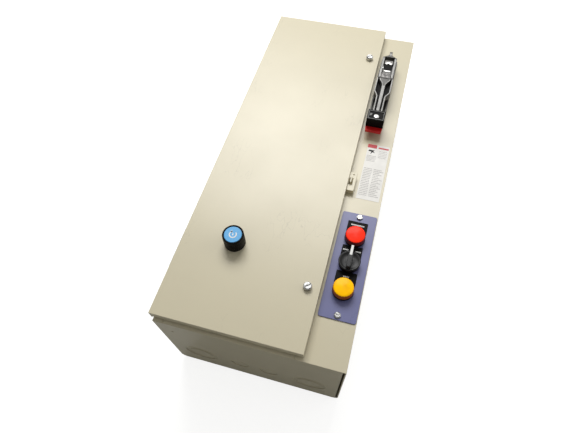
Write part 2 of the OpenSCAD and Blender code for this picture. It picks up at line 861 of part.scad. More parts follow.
module flange_staple() {
    x = door_x1 + staple_in;
    color("wheat") difference() {
        union() {
            block(x - staple_t / 2, x + staple_t / 2, y_flange - staple_out, y_inside + 1,
                staple_z, staple_z + staple_h);
            block(x - staple_t / 2, x + staple_foot, y_inside, y_inside + staple_foot_t,
                staple_z, staple_z + staple_h);
        }
        crosswise(x - 5, y_flange - staple_out + staple_hole_in, staple_z + staple_h / 2)
            cylinder(h = 10, r = staple_hole_r);
    }
}

module flange_label() {
    color("white") block(label_x, label_x + label_w, y_flange - label_t, y_flange,
        label_z, label_z + label_h);
}

// ---------------------------------------------------------------- reset button
module reset_bezel() {
    color("black") facing(reset_x, y_door, reset_z) {
        difference() {
            union() {
                cylinder(h = reset_h - 1, r = reset_r);
                translate([0, 0, reset_h - 1]) cylinder(h = 1, r1 = reset_r, r2 = reset_r - chamfer);
                translate([0, 0, -reset_tail]) cylinder(h = reset_tail + 1, r = neck_r);
            }
            translate([0, 0, reset_floor]) cylinder(h = reset_h, r = reset_cap_r + running_fit);
            translate([0, 0, -reset_tail - 1])
                cylinder(h = reset_tail + reset_floor + bush_h, r = reset_stem_r + running_fit);
        }
        translate([0, 0, -sheet_t - ring_nut_t]) difference() {
            cylinder(h = ring_nut_t, r = reset_r, $fn = 6);
            translate([0, 0, -1]) cylinder(h = ring_nut_t + 2, r = neck_r + press_gap);
        }
    }
}

module reset_cap() {
    top = reset_h - reset_face;
    color("deepskyblue") facing(reset_x, y_door, reset_z) {
        translate([0, 0, top - reset_cap_t]) cylinder(h = reset_cap_t, r = reset_cap_r);
        translate([0, 0, -4]) cylinder(h = top - reset_cap_t + 4 + eps, r = reset_stem_r);
    }
}

module reset_spring() {
    low = reset_floor + spring_wire_r + spring_end;
    high = reset_h - reset_face - reset_cap_t - spring_wire_r - spring_end;
    last = spring_steps * spring_turns;
    path = [for (i = [0:last]) let (turn = i * 360 / spring_steps)
        [spring_coil_r * cos(turn), spring_coil_r * sin(turn), low + (high - low) * i / last]
    ];
    color("silver") facing(reset_x, y_door, reset_z) tube(path, spring_wire_r, 6);
}

module reset_rod() {
    tip = y_overload - plunger_out - rod_gap;
    color("silver") facing(reset_x, tip, reset_z) {
        cylinder(h = tip - y_door - 4, r = reset_rod_r);
    }
}

// ---------------------------------------------------------------- handle
module at_pivot() {
    translate([handle_x, pivot_y, pivot_z]) children();
}

// Extrudes an outline in local X and Z, from y0 forward to y1, both counted out of the pivot
module upright(y0, y1) {
    translate([0, -y0, 0]) rotate([90, 0, 0]) linear_extrude(y1 - y0) children();
}

module handle_base() {
    back = -handle_pivot_out;
    half = handle_w / 2;
    foot_half = half + foot_over;
    color("dimgray") at_pivot() difference() {
        union() {
            upright(back, back + foot_t) translate([-foot_half, -lever_len - foot_low])
                square([2 * foot_half, lever_len + foot_low + foot_top]);
            upright(back, 1) difference() {
                translate([-foot_half, -lever_len - foot_low])
                    square([2 * foot_half, lever_len + foot_low - body_low]);
                translate([-foot_half + foot_rim, -lever_len - foot_low - 1])
                    square([2 * (foot_half - foot_rim), lever_len - body_low]);
            }
            upright(back, body_out) difference() {
                polygon([
                    [-half, -body_low], [half, -body_low], [half, body_top],
                    [neck_half, body_top + neck_rise], [tongue_base, body_top + tongue_rise],
                    [tongue_tip, tongue_top], [-tongue_tip, tongue_top],
                    [-tongue_base, body_top + tongue_rise], [-neck_half, body_top + neck_rise],
                    [-half, body_top]
                ]);
                translate([-cheek_in, -body_low - 1]) square([2 * cheek_in, body_low + body_top - 1]);
            }
            upright(body_out - bar_front_t, body_out) for (s = [-1, 1]) {
                translate([s * (bar_in + half) / 2 - (half - bar_in) / 2, -body_low])
                    square([half - bar_in, body_low + body_top - 1]);
            }
        }
        upright(back - 1, back + foot_t + 1) translate([-cheek_in, -slot_half])
            square([2 * cheek_in, 2 * slot_half]);
        crosswise(-half - 1, 0, 0) cylinder(h = handle_w + 2, r = handle_pin_r + tight_gap);
        upright(web_y, body_out + 1) translate([-tongue_base - 0.4, body_top + tongue_step])
            square([2 * tongue_base + 0.8, tongue_top]);
        upright(web_y + 2, body_out + 1) translate([-bar_in, 0]) square([2 * bar_in, lever_room]);
    }
}

// Outline of one side of the lever below the hub, from the hip to the grip
function lever_side(shift) = [
    [wide_half - shift, -hip_z - shift], [wide_half - shift, -shoulder_z + 1],
    [wide_half - 0.8 - shift, -shoulder_z - 2], [wide_half - 2.4 - shift, -shoulder_z - 4.5],
    [narrow_half + 1 - shift, -shoulder_z - 7.5], [narrow_half - shift, -shoulder_z - 11],
    [narrow_half - 0.6 - shift, -lever_len - lever_low]
];

module lever_plan(shift) {
    side = lever_side(shift);
    polygon(concat(side, [for (i = [len(side) - 1:-1:0]) [-side[i].x, side[i].y]]));
}

module handle_lever() {
    drum_x0 = -cheek_in + drum_gap + crank_t + neck_gap;
    drum_x1 = cheek_in - drum_gap;
    neck_z = hip_z + funnel_len;
    color("gray") at_pivot() difference() {
        union() {
            crosswise(drum_x0, 0, 0) cylinder(h = drum_x1 - drum_x0, r = drum_r);
            upright(web_y, web_y + block_t) polygon([
                [drum_x0, -block_top], [tongue_half, -block_top], [tongue_half, -hip_z - 2],
                [-tongue_half, -hip_z - 2], [-tongue_half, -block_step], [drum_x0, -block_side]
            ]);
            upright(web_y, web_y + web_t) lever_plan(0);
            upright(web_y, web_y + rail_h) difference() {
                lever_plan(0);
                lever_plan(rail_t);
            }
            upright(web_y, web_y + cheek_h) for (s = [-1, 1]) {
                polygon([
                    [s * wide_half, -hip_z - 3], [s * (wide_half + 0.2), -cheek_rise],
                    [s * (wide_half - 0.7), -cheek_rise], [s * (wide_half - 0.7), -hip_z - 3]
                ]);
            }
            upright(web_y, web_y + rail_h - 1) polygon([
                [-funnel_half, -hip_z], [funnel_half, -hip_z], [funnel_step, -hip_z - funnel_step_z],
                [stem_half + 1.4, -neck_z + 4], [stem_half, -neck_z - 2],
                [stem_half + 0.4, -lever_len - lever_low], [-stem_half - 0.4, -lever_len - lever_low],
                [-stem_half, -neck_z - 2], [-stem_half - 1.4, -neck_z + 4],
                [-funnel_step, -hip_z - funnel_step_z]
            ]);
        }
        crosswise(-handle_w, 0, 0) cylinder(h = 2 * handle_w, r = handle_pin_r + running_fit);
    }
}

module handle_grip() {
    z0 = -lever_len - grip_len;
    color("black") at_pivot() difference() {
        upright(cap_back, grip_out) translate([-grip_half, z0]) square([2 * grip_half, grip_len]);
        upright(web_y, web_y + rail_h) translate([-narrow_half, -lever_len - lever_low])
            square([2 * narrow_half, lever_low + 1]);
        upright(cap_back - 1, cap_out) translate([-grip_half - 1, z0 - 1])
            square([2 * grip_half + 2, grip_len - cap_over + 1]);
        upright(grip_out - 1, grip_out + 1) translate([-grip_half + frame_in, z0 + frame_low])
            square([2 * (grip_half - frame_in), grip_len - 2 * frame_in]);
    }
}

module handle_cap() {
    z0 = -lever_len - grip_len;
    half = grip_half - cap_gap_x;
    color("red") at_pivot() upright(cap_back, cap_out) polygon([
        [-half, z0 + grip_len - cap_over], [half, z0 + grip_len - cap_over], [half, z0],
        [half - cap_taper, z0 - cap_len], [cap_taper - half, z0 - cap_len], [-half, z0]
    ]);
}

module handle_pivot_pin() {
    color("silver") at_pivot() crosswise(-handle_w / 2 - pin_over, 0, 0) {
        cylinder(h = handle_w + 2 * pin_over, r = handle_pin_r);
    }
}

module handle_crank() {
    x0 = -cheek_in + drum_gap;
    color("silver") at_pivot() {
        crosswise(x0, 0, 0) linear_extrude(crank_t) difference() {
            union() {
                circle(drum_r - crank_hub_in);
                rotate(crank_half) translate([-crank_half_w, 0]) square([2 * crank_half_w, crank_len]);
                rotate(crank_half) translate([0, crank_len]) circle(crank_end_r);
            }
            circle(handle_pin_r + running_fit);
        }
        rotate([crank_half, 0, 0]) crosswise(fork_x0 - handle_x + pin_in, crank_len, 0) {
            cylinder(h = x0 - fork_x0 + handle_x, r = crank_pin_r);
        }
    }
}

// ---------------------------------------------------------------- drive mechanism
module mechanism_frame() {
    color("lightsteelblue") for (side = [-1, 1]) difference() {
        z = breaker_z + side * bar_end;
        union() {
            block(breaker_x - bar_half, breaker_x + bar_half, bar_y0, bar_y1,
                z - bar_h / 2, z + bar_h / 2);
            for (x = [-bar_half, bar_half - leg_t]) {
                block(breaker_x + x, breaker_x + x + leg_t, bar_y0, y_breaker,
                    z - bar_h / 2, z + bar_h / 2);
            }
        }
        for (x = [-rod_x, rod_x]) translate([breaker_x + x, rod_y, z - bar_h]) {
            cylinder(h = 2 * bar_h, r = rod_r);
        }
    }
}

module guide_rods() {
    color("silver") for (x = [-rod_x, rod_x]) {
        translate([breaker_x + x, rod_y, breaker_z - bar_end - bar_h / 2 - 1]) {
            cylinder(h = 2 * bar_end + bar_h + 2, r = rod_r);
        }
    }
}

module drive_yoke() {
    zw = breaker_z + drive_half;
    zf = pivot_z + drive_half;
    z0 = zw - boss_h / 2;
    gap = toggle_half / cos(toggle_swing) + yoke_t / 2 * tan(toggle_swing) + play + 0.3;
    fork_top = zf + fork_half + fork_t;
    fork_low = zf - fork_half - fork_t;
    fork_y = y_inside + play;
    pin_back = pivot_y + crank_len;
    color("lightslategray") difference() {
        union() {
            block(breaker_x - rod_x - yoke_side, fork_x1, yoke_y - yoke_t, yoke_y, z0, z0 + boss_h);
            block(fork_x0, fork_x1, yoke_y - yoke_t, yoke_y, z0, fork_top);
            block(fork_x0, fork_x1, fork_y, yoke_y, fork_low, fork_top);
            for (x = [-rod_x, rod_x]) {
                translate([breaker_x + x, rod_y, z0]) cylinder(h = boss_h, r = boss_r);
                block(breaker_x + x - rib_half, breaker_x + x + rib_half, rod_y, yoke_y,
                    z0, z0 + boss_h);
            }
        }
        block(fork_x0 - 1, fork_x1 + 1, fork_y - 1, pin_back + crank_pin_r + fork_deep,
            zf - fork_half, zf + fork_half);
        block(breaker_x - toggle_wide - play, breaker_x + toggle_wide + play,
            yoke_y - yoke_t - 1, yoke_y + 1, zw - gap, zw + gap);
        for (x = [-rod_x, rod_x]) translate([breaker_x + x, rod_y, z0 - 1]) {
            cylinder(h = boss_h + 2, r = rod_r + running_fit);
        }
    }
}

// ---------------------------------------------------------------- breaker
// Space that the toggle's hub and shield turn in
module toggle_room() {
    room_half = toggle_wide + shield_over + room_gap;
    trunnion_half = toggle_wide + trunnion_over + 1;
    difference() {
        crosswise(breaker_x - room_half, toggle_y, breaker_z) {
            cylinder(h = 2 * room_half, r = shield_r + 1);
        }
        block(breaker_x - room_big, breaker_x + room_big, toggle_y + room_deep, toggle_y + room_big,
            breaker_z - room_big, breaker_z + room_big);
    }
    crosswise(breaker_x - trunnion_half, toggle_y, breaker_z) {
        cylinder(h = 2 * trunnion_half, r = trunnion_r + running_fit);
    }
}

// Pockets for the lugs of one end; side is 1 at the top and -1 at the bottom
module lug_pockets(side) {
    z = breaker_z + side * breaker_h / 2;
    z_in = z - side * (lug_h + lug_in);
    for (x = lug_xs) {
        block(x - lug_w / 2 - 1, x + lug_w / 2 + 1, y_split - 1, y_split + lug_d,
            min(z + side, z_in), max(z + side, z_in));
        facing(x, y_split, z - side * (lug_h / 2 + lug_in)) cylinder(h = base_d, r = tool_hole_r);
    }
}

module breaker_base() {
    color("#303236") difference() {
        block(breaker_x - breaker_w / 2, breaker_x + breaker_w / 2, y_split, y_pan,
            breaker_z - breaker_h / 2, breaker_z + breaker_h / 2);
        toggle_room();
        for (side = [-1, 1]) lug_pockets(side);
    }
}

module breaker_cover() {
    opening = toggle_deep * tan(toggle_swing) + toggle_half / cos(toggle_swing) + play;
    color("#25272b") difference() {
        block(breaker_x - breaker_w / 2, breaker_x + breaker_w / 2, y_breaker, y_split,
            breaker_z - breaker_h / 2, breaker_z + breaker_h / 2);
        toggle_room();
        block(breaker_x - toggle_wide - play, breaker_x + toggle_wide + play, y_breaker - 1, toggle_y,
            breaker_z - opening, breaker_z + opening);
        for (side = [-1, 1]) lug_pockets(side);
        facing(breaker_x - rod_x, y_breaker + dial_seat - 1, breaker_z - dial_down) {
            cylinder(h = dial_seat, r = dial_r + running_fit);
        }
        for (x = [-1, 1], z = [-1, 1]) {
            facing(breaker_x + x * cover_screw_x, y_breaker + 8, breaker_z + z * cover_screw_z)
                cylinder(h = 9, r = cover_shank_r + press_gap);
        }
    }
}

module breaker_toggle() {
    color("black") translate([breaker_x, toggle_y, breaker_z]) rotate([-toggle_swing, 0, 0]) {
        crosswise(-toggle_wide - hub_over, 0, 0) {
            cylinder(h = 2 * (toggle_wide + hub_over), r = hub_r);
        }
        crosswise(-toggle_wide - trunnion_over, 0, 0) {
            cylinder(h = 2 * (toggle_wide + trunnion_over), r = trunnion_r);
        }
        block(-toggle_wide, toggle_wide, -toggle_tip, 0, -toggle_half, toggle_half);
        rotate([90, 0, 90]) translate([0, 0, -toggle_wide - shield_over])
            rotate([0, 0, 180 - shield_span]) rotate_extrude(angle = 2 * shield_span)
            translate([shield_r - shield_t, 0]) square([shield_t, 2 * (toggle_wide + shield_over)]);
    }
}

module breaker_lugs() {
    color("silver") for (side = [-1, 1], x = lug_xs) {
        z = breaker_z + side * (breaker_h / 2 - lug_h / 2 - lug_in);
        difference() {
            union() {
                block(x - lug_w / 2, x + lug_w / 2, y_split + 3, y_split + lug_d,
                    z - lug_h / 2, z + lug_h / 2);
                facing(x, y_split + 4, z) cylinder(h = 7, r = lug_screw_r);
            }
            translate([x, lug_y, z - lug_h]) cylinder(h = 2 * lug_h, r = lug_bore_r);
            facing(x, y_split - 1.2, z) translate([-lug_slot.x / 2, -lug_slot.y / 2, 0])
                cube([lug_slot.x, lug_slot.y, 3]);
        }
    }
}

module dial() {
    difference() {
        cylinder(h = dial_h, r = dial_r);
        translate([-dial_r - 1, -dial_slot.x / 2, dial_h - dial_slot.y])
            cube([2 * dial_r + 2, dial_slot.x, 2]);
    }
}

module trip_dial() {
    color("orangered") facing(breaker_x - rod_x, y_breaker + dial_in, breaker_z - dial_down) dial();
}

// ---------------------------------------------------------------- contactor and overload relay
// Notches for the terminals along one edge of a relay
module terminal_notches(y_front, z_edge, side) {
    for (x = pole_xs) {
        block(x - pole_half, x + pole_half, y_front - 1, terminal_y,
            min(z_edge + side, z_edge - side * notch_z), max(z_edge + side, z_edge - side * notch_z));
    }
}

module contactor_base() {
    color("#3a3d40") difference() {
        block(starter_x - starter_w / 2, starter_x + starter_w / 2, y_contactor_split, y_pan,
            contactor_z0, contactor_z1);
        block(starter_x - starter_w / 2 + wall, starter_x + starter_w / 2 - wall,
            y_contactor_split - 1, y_pan - wall, contactor_z0 + wall, contactor_z1 - wall);
    }
}

module contactor_cover() {
    color("#2c2e31") difference() {
        block(starter_x - starter_w / 2, starter_x + starter_w / 2, y_contactor, y_contactor_split,
            contactor_z0, contactor_z1);
        block(starter_x - starter_w / 2 + wall, starter_x + starter_w / 2 - wall,
            y_contactor_split - cavity_d, y_contactor_split + 1, contactor_z0 + wall, contactor_z1 - wall);
        block(starter_x - tab_w / 2 - play, starter_x + tab_w / 2 + play, y_contactor - 1,
            y_contactor_split, contactor_mid - tab_h / 2 - play, contactor_mid + tab_h / 2 + play);
        terminal_notches(y_contactor, contactor_z1, 1);
        terminal_notches(y_contactor, contactor_z0, -1);
    }
}

module contactor_carrier() {
    y0 = y_contactor_split - carrier_stroke - carrier_gap;
    color("ivory") {
        block(starter_x - carrier_w / 2, starter_x + carrier_w / 2, y0 - carrier_t, y0,
            contactor_mid - carrier_w / 2, contactor_mid + carrier_w / 2);
        block(starter_x - tab_w / 2, starter_x + tab_w / 2, y_contactor - 2, y0 - carrier_t + eps,
            contactor_mid - tab_h / 2, contactor_mid + tab_h / 2);
    }
}

module contactor_coil() {
    color("firebrick") difference() {
        block(starter_x - coil_w / 2, starter_x + coil_w / 2, y_contactor_split, y_pan - wall,
            contactor_mid - coil_h / 2, contactor_mid + coil_h / 2);
        facing(starter_x, y_pan, contactor_mid) cylinder(h = coil_h, r = coil_bore_r);
    }
}

module starter_terminals() {
    module row(y_front, z_edge, side) {
        for (x = pole_xs) {
            z = z_edge - side * notch_z / 2;
            block(x - pole_plate.x / 2, x + pole_plate.x / 2, terminal_y - 2, terminal_y,
                z - pole_plate.y / 2, z + pole_plate.y / 2);
            facing(x, terminal_y - 2, z) screw(pole_screw_r, 4, 1, 1);
        }
    }
    color("silver") {
        row(y_contactor, contactor_z1, 1);
        row(y_contactor, contactor_z0, -1);
        row(y_overload, overload_z0, -1);
    }
}

module overload_body() {
    bore = plunger_in + reset_travel + 2;
    color("#2a2c30") difference() {
        block(starter_x - starter_w / 2, starter_x + starter_w / 2, y_overload, y_pan,
            overload_z0, overload_z1);
        facing(reset_x, y_overload + bore, reset_z) cylinder(h = bore + 1, r = plunger_r + running_fit);
        facing(starter_x + overload_dial_x, y_overload + dial_seat - 1, reset_z) {
            cylinder(h = dial_seat, r = dial_r + running_fit);
        }
        terminal_notches(y_overload, overload_z0, -1);
    }
}

module overload_plunger() {
    color("royalblue") facing(reset_x, y_overload + plunger_in, reset_z) {
        cylinder(h = plunger_in + plunger_out, r = plunger_r);
    }
}

module overload_dial() {
    color("white") facing(starter_x + overload_dial_x, y_overload + dial_in, reset_z) dial();
}

// ---------------------------------------------------------------- control circuit
module transformer_core() {
    color("slategray") difference() {
        union() {
            block(trafo_x - core_w / 2, trafo_x + core_w / 2, core_y0, core_y1,
                trafo_z - core_h / 2, trafo_z + core_h / 2);
            for (s = [-1, 1]) {
                z = trafo_z + s * (core_h - core_foot) / 2;
                block(trafo_x - core_w / 2, trafo_x + core_w / 2, core_y1 - 1, y_pan,
                    z - core_foot / 2, z + core_foot / 2);
            }
        }
        for (s = [-1, 1]) {
            x = trafo_x + s * (limb + window / 2);
            block(x - window / 2, x + window / 2, core_y0 - 1, core_y1 + 1,
                trafo_z - window_h / 2, trafo_z + window_h / 2);
        }
    }
}

module transformer_coil() {
    half_w = limb + window - 1;
    half_h = window_h / 2 - coil_room;
    color("saddlebrown") difference() {
        block(trafo_x - half_w, trafo_x + half_w, core_y0 - coil_front, core_y1 + coil_back,
            trafo_z - half_h, trafo_z + half_h);
        block(trafo_x - limb, trafo_x + limb, core_y0, core_y1, trafo_z - core_h, trafo_z + core_h);
    }
}

module fuse_block() {
    color("#33363b") difference() {
        block(fuse_x - fuse_block_w / 2, fuse_x + fuse_block_w / 2, y_pan - fuse_block_d, y_pan,
            fuse_z - fuse_block_h / 2, fuse_z + fuse_block_h / 2);
        for (s = [-1, 1]) {
            z = fuse_z + s * fuse_half_pitch;
            block(fuse_x - fuse_bed.x / 2, fuse_x + fuse_bed.x / 2, y_pan - fuse_block_d - 1,
                y_pan - fuse_bed.z, z - fuse_bed.y / 2, z + fuse_bed.y / 2);
        }
    }
}

module control_fuses() {
    color("ivory") for (s = [-1, 1]) {
        crosswise(fuse_x - fuse_len / 2, y_pan - fuse_axis, fuse_z + s * fuse_half_pitch) {
            cylinder(h = fuse_len, r = fuse_r);
            for (z = [0, fuse_len - fuse_cap_len]) translate([0, 0, z]) {
                cylinder(h = fuse_cap_len, r = fuse_cap_r);
            }
        }
    }
}

module terminal_block() {
    half = strip_ways * strip_pitch / 2;
    color("lightgray") difference() {
        block(strip_x - half - strip_end, strip_x + half + strip_end, y_pan - strip_d, y_pan,
            strip_z - strip_h / 2, strip_z + strip_h / 2);
        for (i = [0:strip_ways - 1], s = [-1, 1]) {
            facing(strip_x - half + (i + 0.5) * strip_pitch, y_pan - strip_hole.x,
                strip_z + s * strip_screw_z) cylinder(h = strip_d / 2, r = strip_hole.y);
        }
    }
}

module control_plate() {
    color("slateblue") difference() {
        facing(plate_x, y_flange, plate_z) rounded_plate(plate_w, plate_h, plate_round, plate_t);
        for (z = device_zs) facing(device_x, y_flange + 1, z) cylinder(h = plate_t + 2, r = device_hole_r);
        for (s = [-1, 1]) facing(plate_x, y_flange + 1, plate_z + s * plate_screw_z) {
            cylinder(h = plate_t + 2, r = plate_screw_r + screw_gap);
        }
    }
}

module plate_screws() {
    color("silver") for (s = [-1, 1]) {
        facing(plate_x, y_plate, plate_z + s * plate_screw_z) screw(4.5, 2.8, plate_screw_r, 7);
    }
}

module legend_plates() {
    color("#1b1b1d") for (z = device_zs) difference() {
        union() {
            block(device_x - legend_half, device_x + legend_half, y_legend, y_plate,
                z + legend_low, z + legend_above);
            facing(device_x, y_plate, z) cylinder(h = legend_t, r = legend_eye_r);
        }
        facing(device_x, y_plate + 1, z) cylinder(h = legend_t + 2, r = device_hole_r);
    }
}

module device_bezels() {
    neck = legend_t + plate_t + sheet_t + collar_h;
    color("#151515") for (i = [0:2]) {
        ring = i == 1 ? selector_ring_h : pilot_ring_h;
        facing(device_x, y_legend, device_zs[i]) difference() {
            union() {
                cylinder(h = ring - 1, r = device_head_r);
                translate([0, 0, ring - 1]) cylinder(h = 1, r1 = device_head_r, r2 = device_head_r - chamfer);
                translate([0, 0, -neck]) cylinder(h = neck + 1, r = neck_r);
            }
            if (i == 1) {
                translate([0, 0, -neck - 1]) cylinder(h = neck + ring + 2, r = stem_r + running_fit);
            } else {
                translate([0, 0, -neck - 1]) cylinder(h = neck + ring + 2, r = lamp_bore_r);
            }
        }
    }
}

module lens(z) {
    side_h = lens_h - pilot_ring_h - lens_slope_h;
    facing(device_x, y_legend - pilot_ring_h, z) {
        cylinder(h = side_h, r = lens_r);
        translate([0, 0, side_h]) cylinder(h = lens_slope_h, r1 = lens_r, r2 = lens_r - lens_slope_in);
    }
}

module red_lens() { color("red") lens(device_zs[2]); }
module amber_lens() { color("orange") lens(device_zs[0]); }

module selector_knob() {
    color("#101010") facing(device_x, y_legend - selector_ring_h - seat_gap, device_zs[1]) {
        cylinder(h = knob_disc_h, r = device_head_r - knob_in);
        translate([-knob_bar_w / 2, 2.2 - device_head_r, knob_disc_h - eps]) {
            cube([knob_bar_w, 2 * device_head_r - 3, knob_bar_h]);
        }
        translate([0, 0, -knob_stem]) cylinder(h = knob_stem + eps, r = stem_r);
    }
}

module device_blocks() {
    y0 = y_inside + collar_h;
    color("#4a4d52") for (z = device_zs) {
        block(device_x - device_block_w / 2, device_x + device_block_w / 2, y0, y0 + block_d,
            z - device_block_h / 2, z + device_block_h / 2);
        facing(device_x, y0, z) difference() {
            cylinder(h = y0 - y_inside, r = device_nut_r);
            translate([0, 0, -1]) cylinder(h = y0 - y_inside + 2, r = neck_r + press_gap);
        }
    }
}

// ---------------------------------------------------------------- wires
module power_wires() {
    z0 = breaker_z - breaker_h / 2 + 3;
    z1 = contactor_z1 - notch_z + 9;
    color("#1a1a1a") for (i = [0:2]) {
        a = [lug_xs[i], lug_y, z0];
        b = [pole_xs[i], terminal_y - 11, z1];
        tube(curve(a, [0, 0, -70], b, [0, 0, 70], 18), wire_r);
    }
}

module control_wires() {
    half = strip_ways * strip_pitch / 2;
    y_block = y_inside + collar_h + block_d;
    color("firebrick") for (i = [0:2], s = [0, 1]) {
        way = strip_ways - 1 - 2 * i - s;
        a = [device_x - 3 - 6 * s, y_block, device_zs[i] + 4];
        b = [strip_x - half + (way + 0.5) * strip_pitch, y_pan - strip_d, strip_z + strip_screw_z];
        tube(curve(a, [0, 26, 6], b, [0, -30 - 6 * i, 10], 14), control_wire_r);
    }
}

enclosure_wrap();
top_end_cap();
bottom_end_cap();
conduit_knockouts();
mounting_pan();
pan_standoffs();
panel_fasteners();
ground_bar();
door_panel();
hinge_box_leaves();
hinge_door_leaves();
hinge_pins();
upper_latch_stud();
upper_latch_pawl();
lower_latch_stud();
lower_latch_pawl();
door_hasp();
flange_staple();
flange_label();
reset_bezel();
reset_cap();
reset_rod();
reset_spring();
handle_base();
handle_lever();
handle_grip();
handle_cap();
handle_pivot_pin();
handle_crank();
mechanism_frame();
guide_rods();
drive_yoke();
breaker_base();
breaker_cover();
breaker_toggle();
breaker_lugs();
trip_dial();
contactor_base();
contactor_cover();
contactor_carrier();
contactor_coil();
starter_terminals();
overload_body();
overload_plunger();
overload_dial();
transformer_core();
transformer_coil();
fuse_block();
control_fuses();
terminal_block();
control_plate();
plate_screws();
legend_plates();
device_bezels();
red_lens();
amber_lens();
selector_knob();
device_blocks();
power_wires();
control_wires();
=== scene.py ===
"""Looks of the enclosed motor protection breaker: finishes, small fittings, backdrop, light and camera.

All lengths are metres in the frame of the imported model: the box stands along +Z and its door faces -Y.
"""
import json
import math

import bmesh
import bpy
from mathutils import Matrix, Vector


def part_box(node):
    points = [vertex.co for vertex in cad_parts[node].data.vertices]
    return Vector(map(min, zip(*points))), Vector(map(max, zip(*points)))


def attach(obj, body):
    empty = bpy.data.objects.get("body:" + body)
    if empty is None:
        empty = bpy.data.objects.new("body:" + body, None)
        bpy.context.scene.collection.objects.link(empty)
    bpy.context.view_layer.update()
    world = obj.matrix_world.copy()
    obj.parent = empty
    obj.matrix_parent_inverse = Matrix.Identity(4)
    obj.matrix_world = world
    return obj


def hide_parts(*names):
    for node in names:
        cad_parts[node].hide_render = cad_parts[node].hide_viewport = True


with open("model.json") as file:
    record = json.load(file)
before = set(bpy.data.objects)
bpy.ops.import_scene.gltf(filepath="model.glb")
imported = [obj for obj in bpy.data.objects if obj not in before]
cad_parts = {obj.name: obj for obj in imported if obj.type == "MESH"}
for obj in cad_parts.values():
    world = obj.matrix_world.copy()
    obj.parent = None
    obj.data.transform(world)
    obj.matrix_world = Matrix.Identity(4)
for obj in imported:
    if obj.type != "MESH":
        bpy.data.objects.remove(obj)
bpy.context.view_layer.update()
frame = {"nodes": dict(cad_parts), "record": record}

MM = 0.001
BLACK = (0.012, 0.012, 0.012, 1)


# ------------------------------------------------------------------ node helpers
def add_node(tree, kind, inputs=None, **settings):
    """Adds a shader node. An input is a plain value or another node's output."""
    made = tree.nodes.new(kind)
    for name, value in settings.items():
        setattr(made, name, value)
    for name, value in (inputs or {}).items():
        socket = made.inputs[name]
        if isinstance(value, bpy.types.NodeSocket):
            tree.links.new(value, socket)
        else:
            socket.default_value = value
    return made


def math_node(tree, operation, first, second=0.0, clamp=False):
    made = add_node(tree, "ShaderNodeMath", {0: first, 1: second}, operation=operation, use_clamp=clamp)
    return made.outputs[0]


def ramp(tree, value, low, high):
    """0 below low, 1 above high and a straight slope between."""
    inputs = {"Value": value, "From Min": low, "From Max": high}
    return add_node(tree, "ShaderNodeMapRange", inputs, clamp=True).outputs["Result"]


def scaled(tree, value, factor, offset):
    """value times factor, plus offset."""
    return math_node(tree, "ADD", math_node(tree, "MULTIPLY", value, factor), offset)


def mix_colour(tree, share, first, second):
    """A mix of two colours; the node's colour sockets are its seventh and eighth."""
    made = add_node(tree, "ShaderNodeMix", {0: share, 6: first, 7: second}, data_type="RGBA")
    return made.outputs[2]


def place(tree, stretch=(1, 1, 1)):
    """The point being shaded, in the part's own frame."""
    where = add_node(tree, "ShaderNodeTexCoord").outputs["Object"]
    return add_node(tree, "ShaderNodeMapping", {"Vector": where, "Scale": stretch}).outputs["Vector"]


def noise(tree, where, size, detail=3.0, roughness=0.5):
    """Cloudy noise whose patches are about size across."""
    scale = math_node(tree, "DIVIDE", 1.0, size)
    return add_node(
        tree, "ShaderNodeTexNoise",
        {"Vector": where, "Scale": scale, "Detail": detail, "Roughness": roughness},
    ).outputs["Fac"]


def facing(tree, axis):
    """How far the surface faces along an axis, from -1 to 1."""
    normal = add_node(tree, "ShaderNodeNewGeometry").outputs["Normal"]
    return add_node(tree, "ShaderNodeSeparateXYZ", {0: normal}).outputs[axis]


def effect(name, inputs, outputs):
    """An empty shader group with named inputs and outputs."""
    tree = bpy.data.node_groups.new(name, "ShaderNodeTree")
    for label, value in inputs.items():
        kind = "NodeSocketColor" if isinstance(value, tuple) else "NodeSocketFloat"
        tree.interface.new_socket(label, in_out="INPUT", socket_type=kind).default_value = value
    for label in outputs:
        tree.interface.new_socket(label, in_out="OUTPUT", socket_type="NodeSocketFloat")
    return tree, tree.nodes.new("NodeGroupInput").outputs, tree.nodes.new("NodeGroupOutput").inputs


# ------------------------------------------------------------------ effects shared by the finishes
def build_cloud():
    """Slow and fine unevenness of a coat or a moulding."""
    tree, given, result = effect("coat_cloud", {"Patch": 0.08, "Fleck": 0.002}, ["Cloud", "Fleck"])
    where = place(tree)
    tree.links.new(noise(tree, where, given["Patch"], 4.0, 0.6), result["Cloud"])
    tree.links.new(noise(tree, where, given["Fleck"], 2.0), result["Fleck"])
    return tree


def build_rubbed_edges():
    """Where corners have been rubbed: the bent normal against the true one, broken up by noise."""
    inputs = {"Width": 0.0008, "Breakup": 0.006, "Amount": 0.6}
    tree, given, result = effect("rubbed_edges", inputs, ["Rubbed"])
    true_normal = add_node(tree, "ShaderNodeNewGeometry").outputs["Normal"]
    bent = add_node(tree, "ShaderNodeBevel", {"Radius": given["Width"]}, samples=4).outputs["Normal"]
    dot = add_node(tree, "ShaderNodeVectorMath", {0: true_normal, 1: bent}, operation="DOT_PRODUCT")
    corner = ramp(tree, math_node(tree, "SUBTRACT", 1.0, dot.outputs["Value"]), 0.02, 0.16)
    broken = ramp(tree, noise(tree, place(tree), given["Breakup"], 5.0, 0.65), 0.42, 0.62)
    worn = math_node(tree, "MULTIPLY", math_node(tree, "MULTIPLY", corner, broken), given["Amount"], True)
    tree.links.new(worn, result["Rubbed"])
    return tree


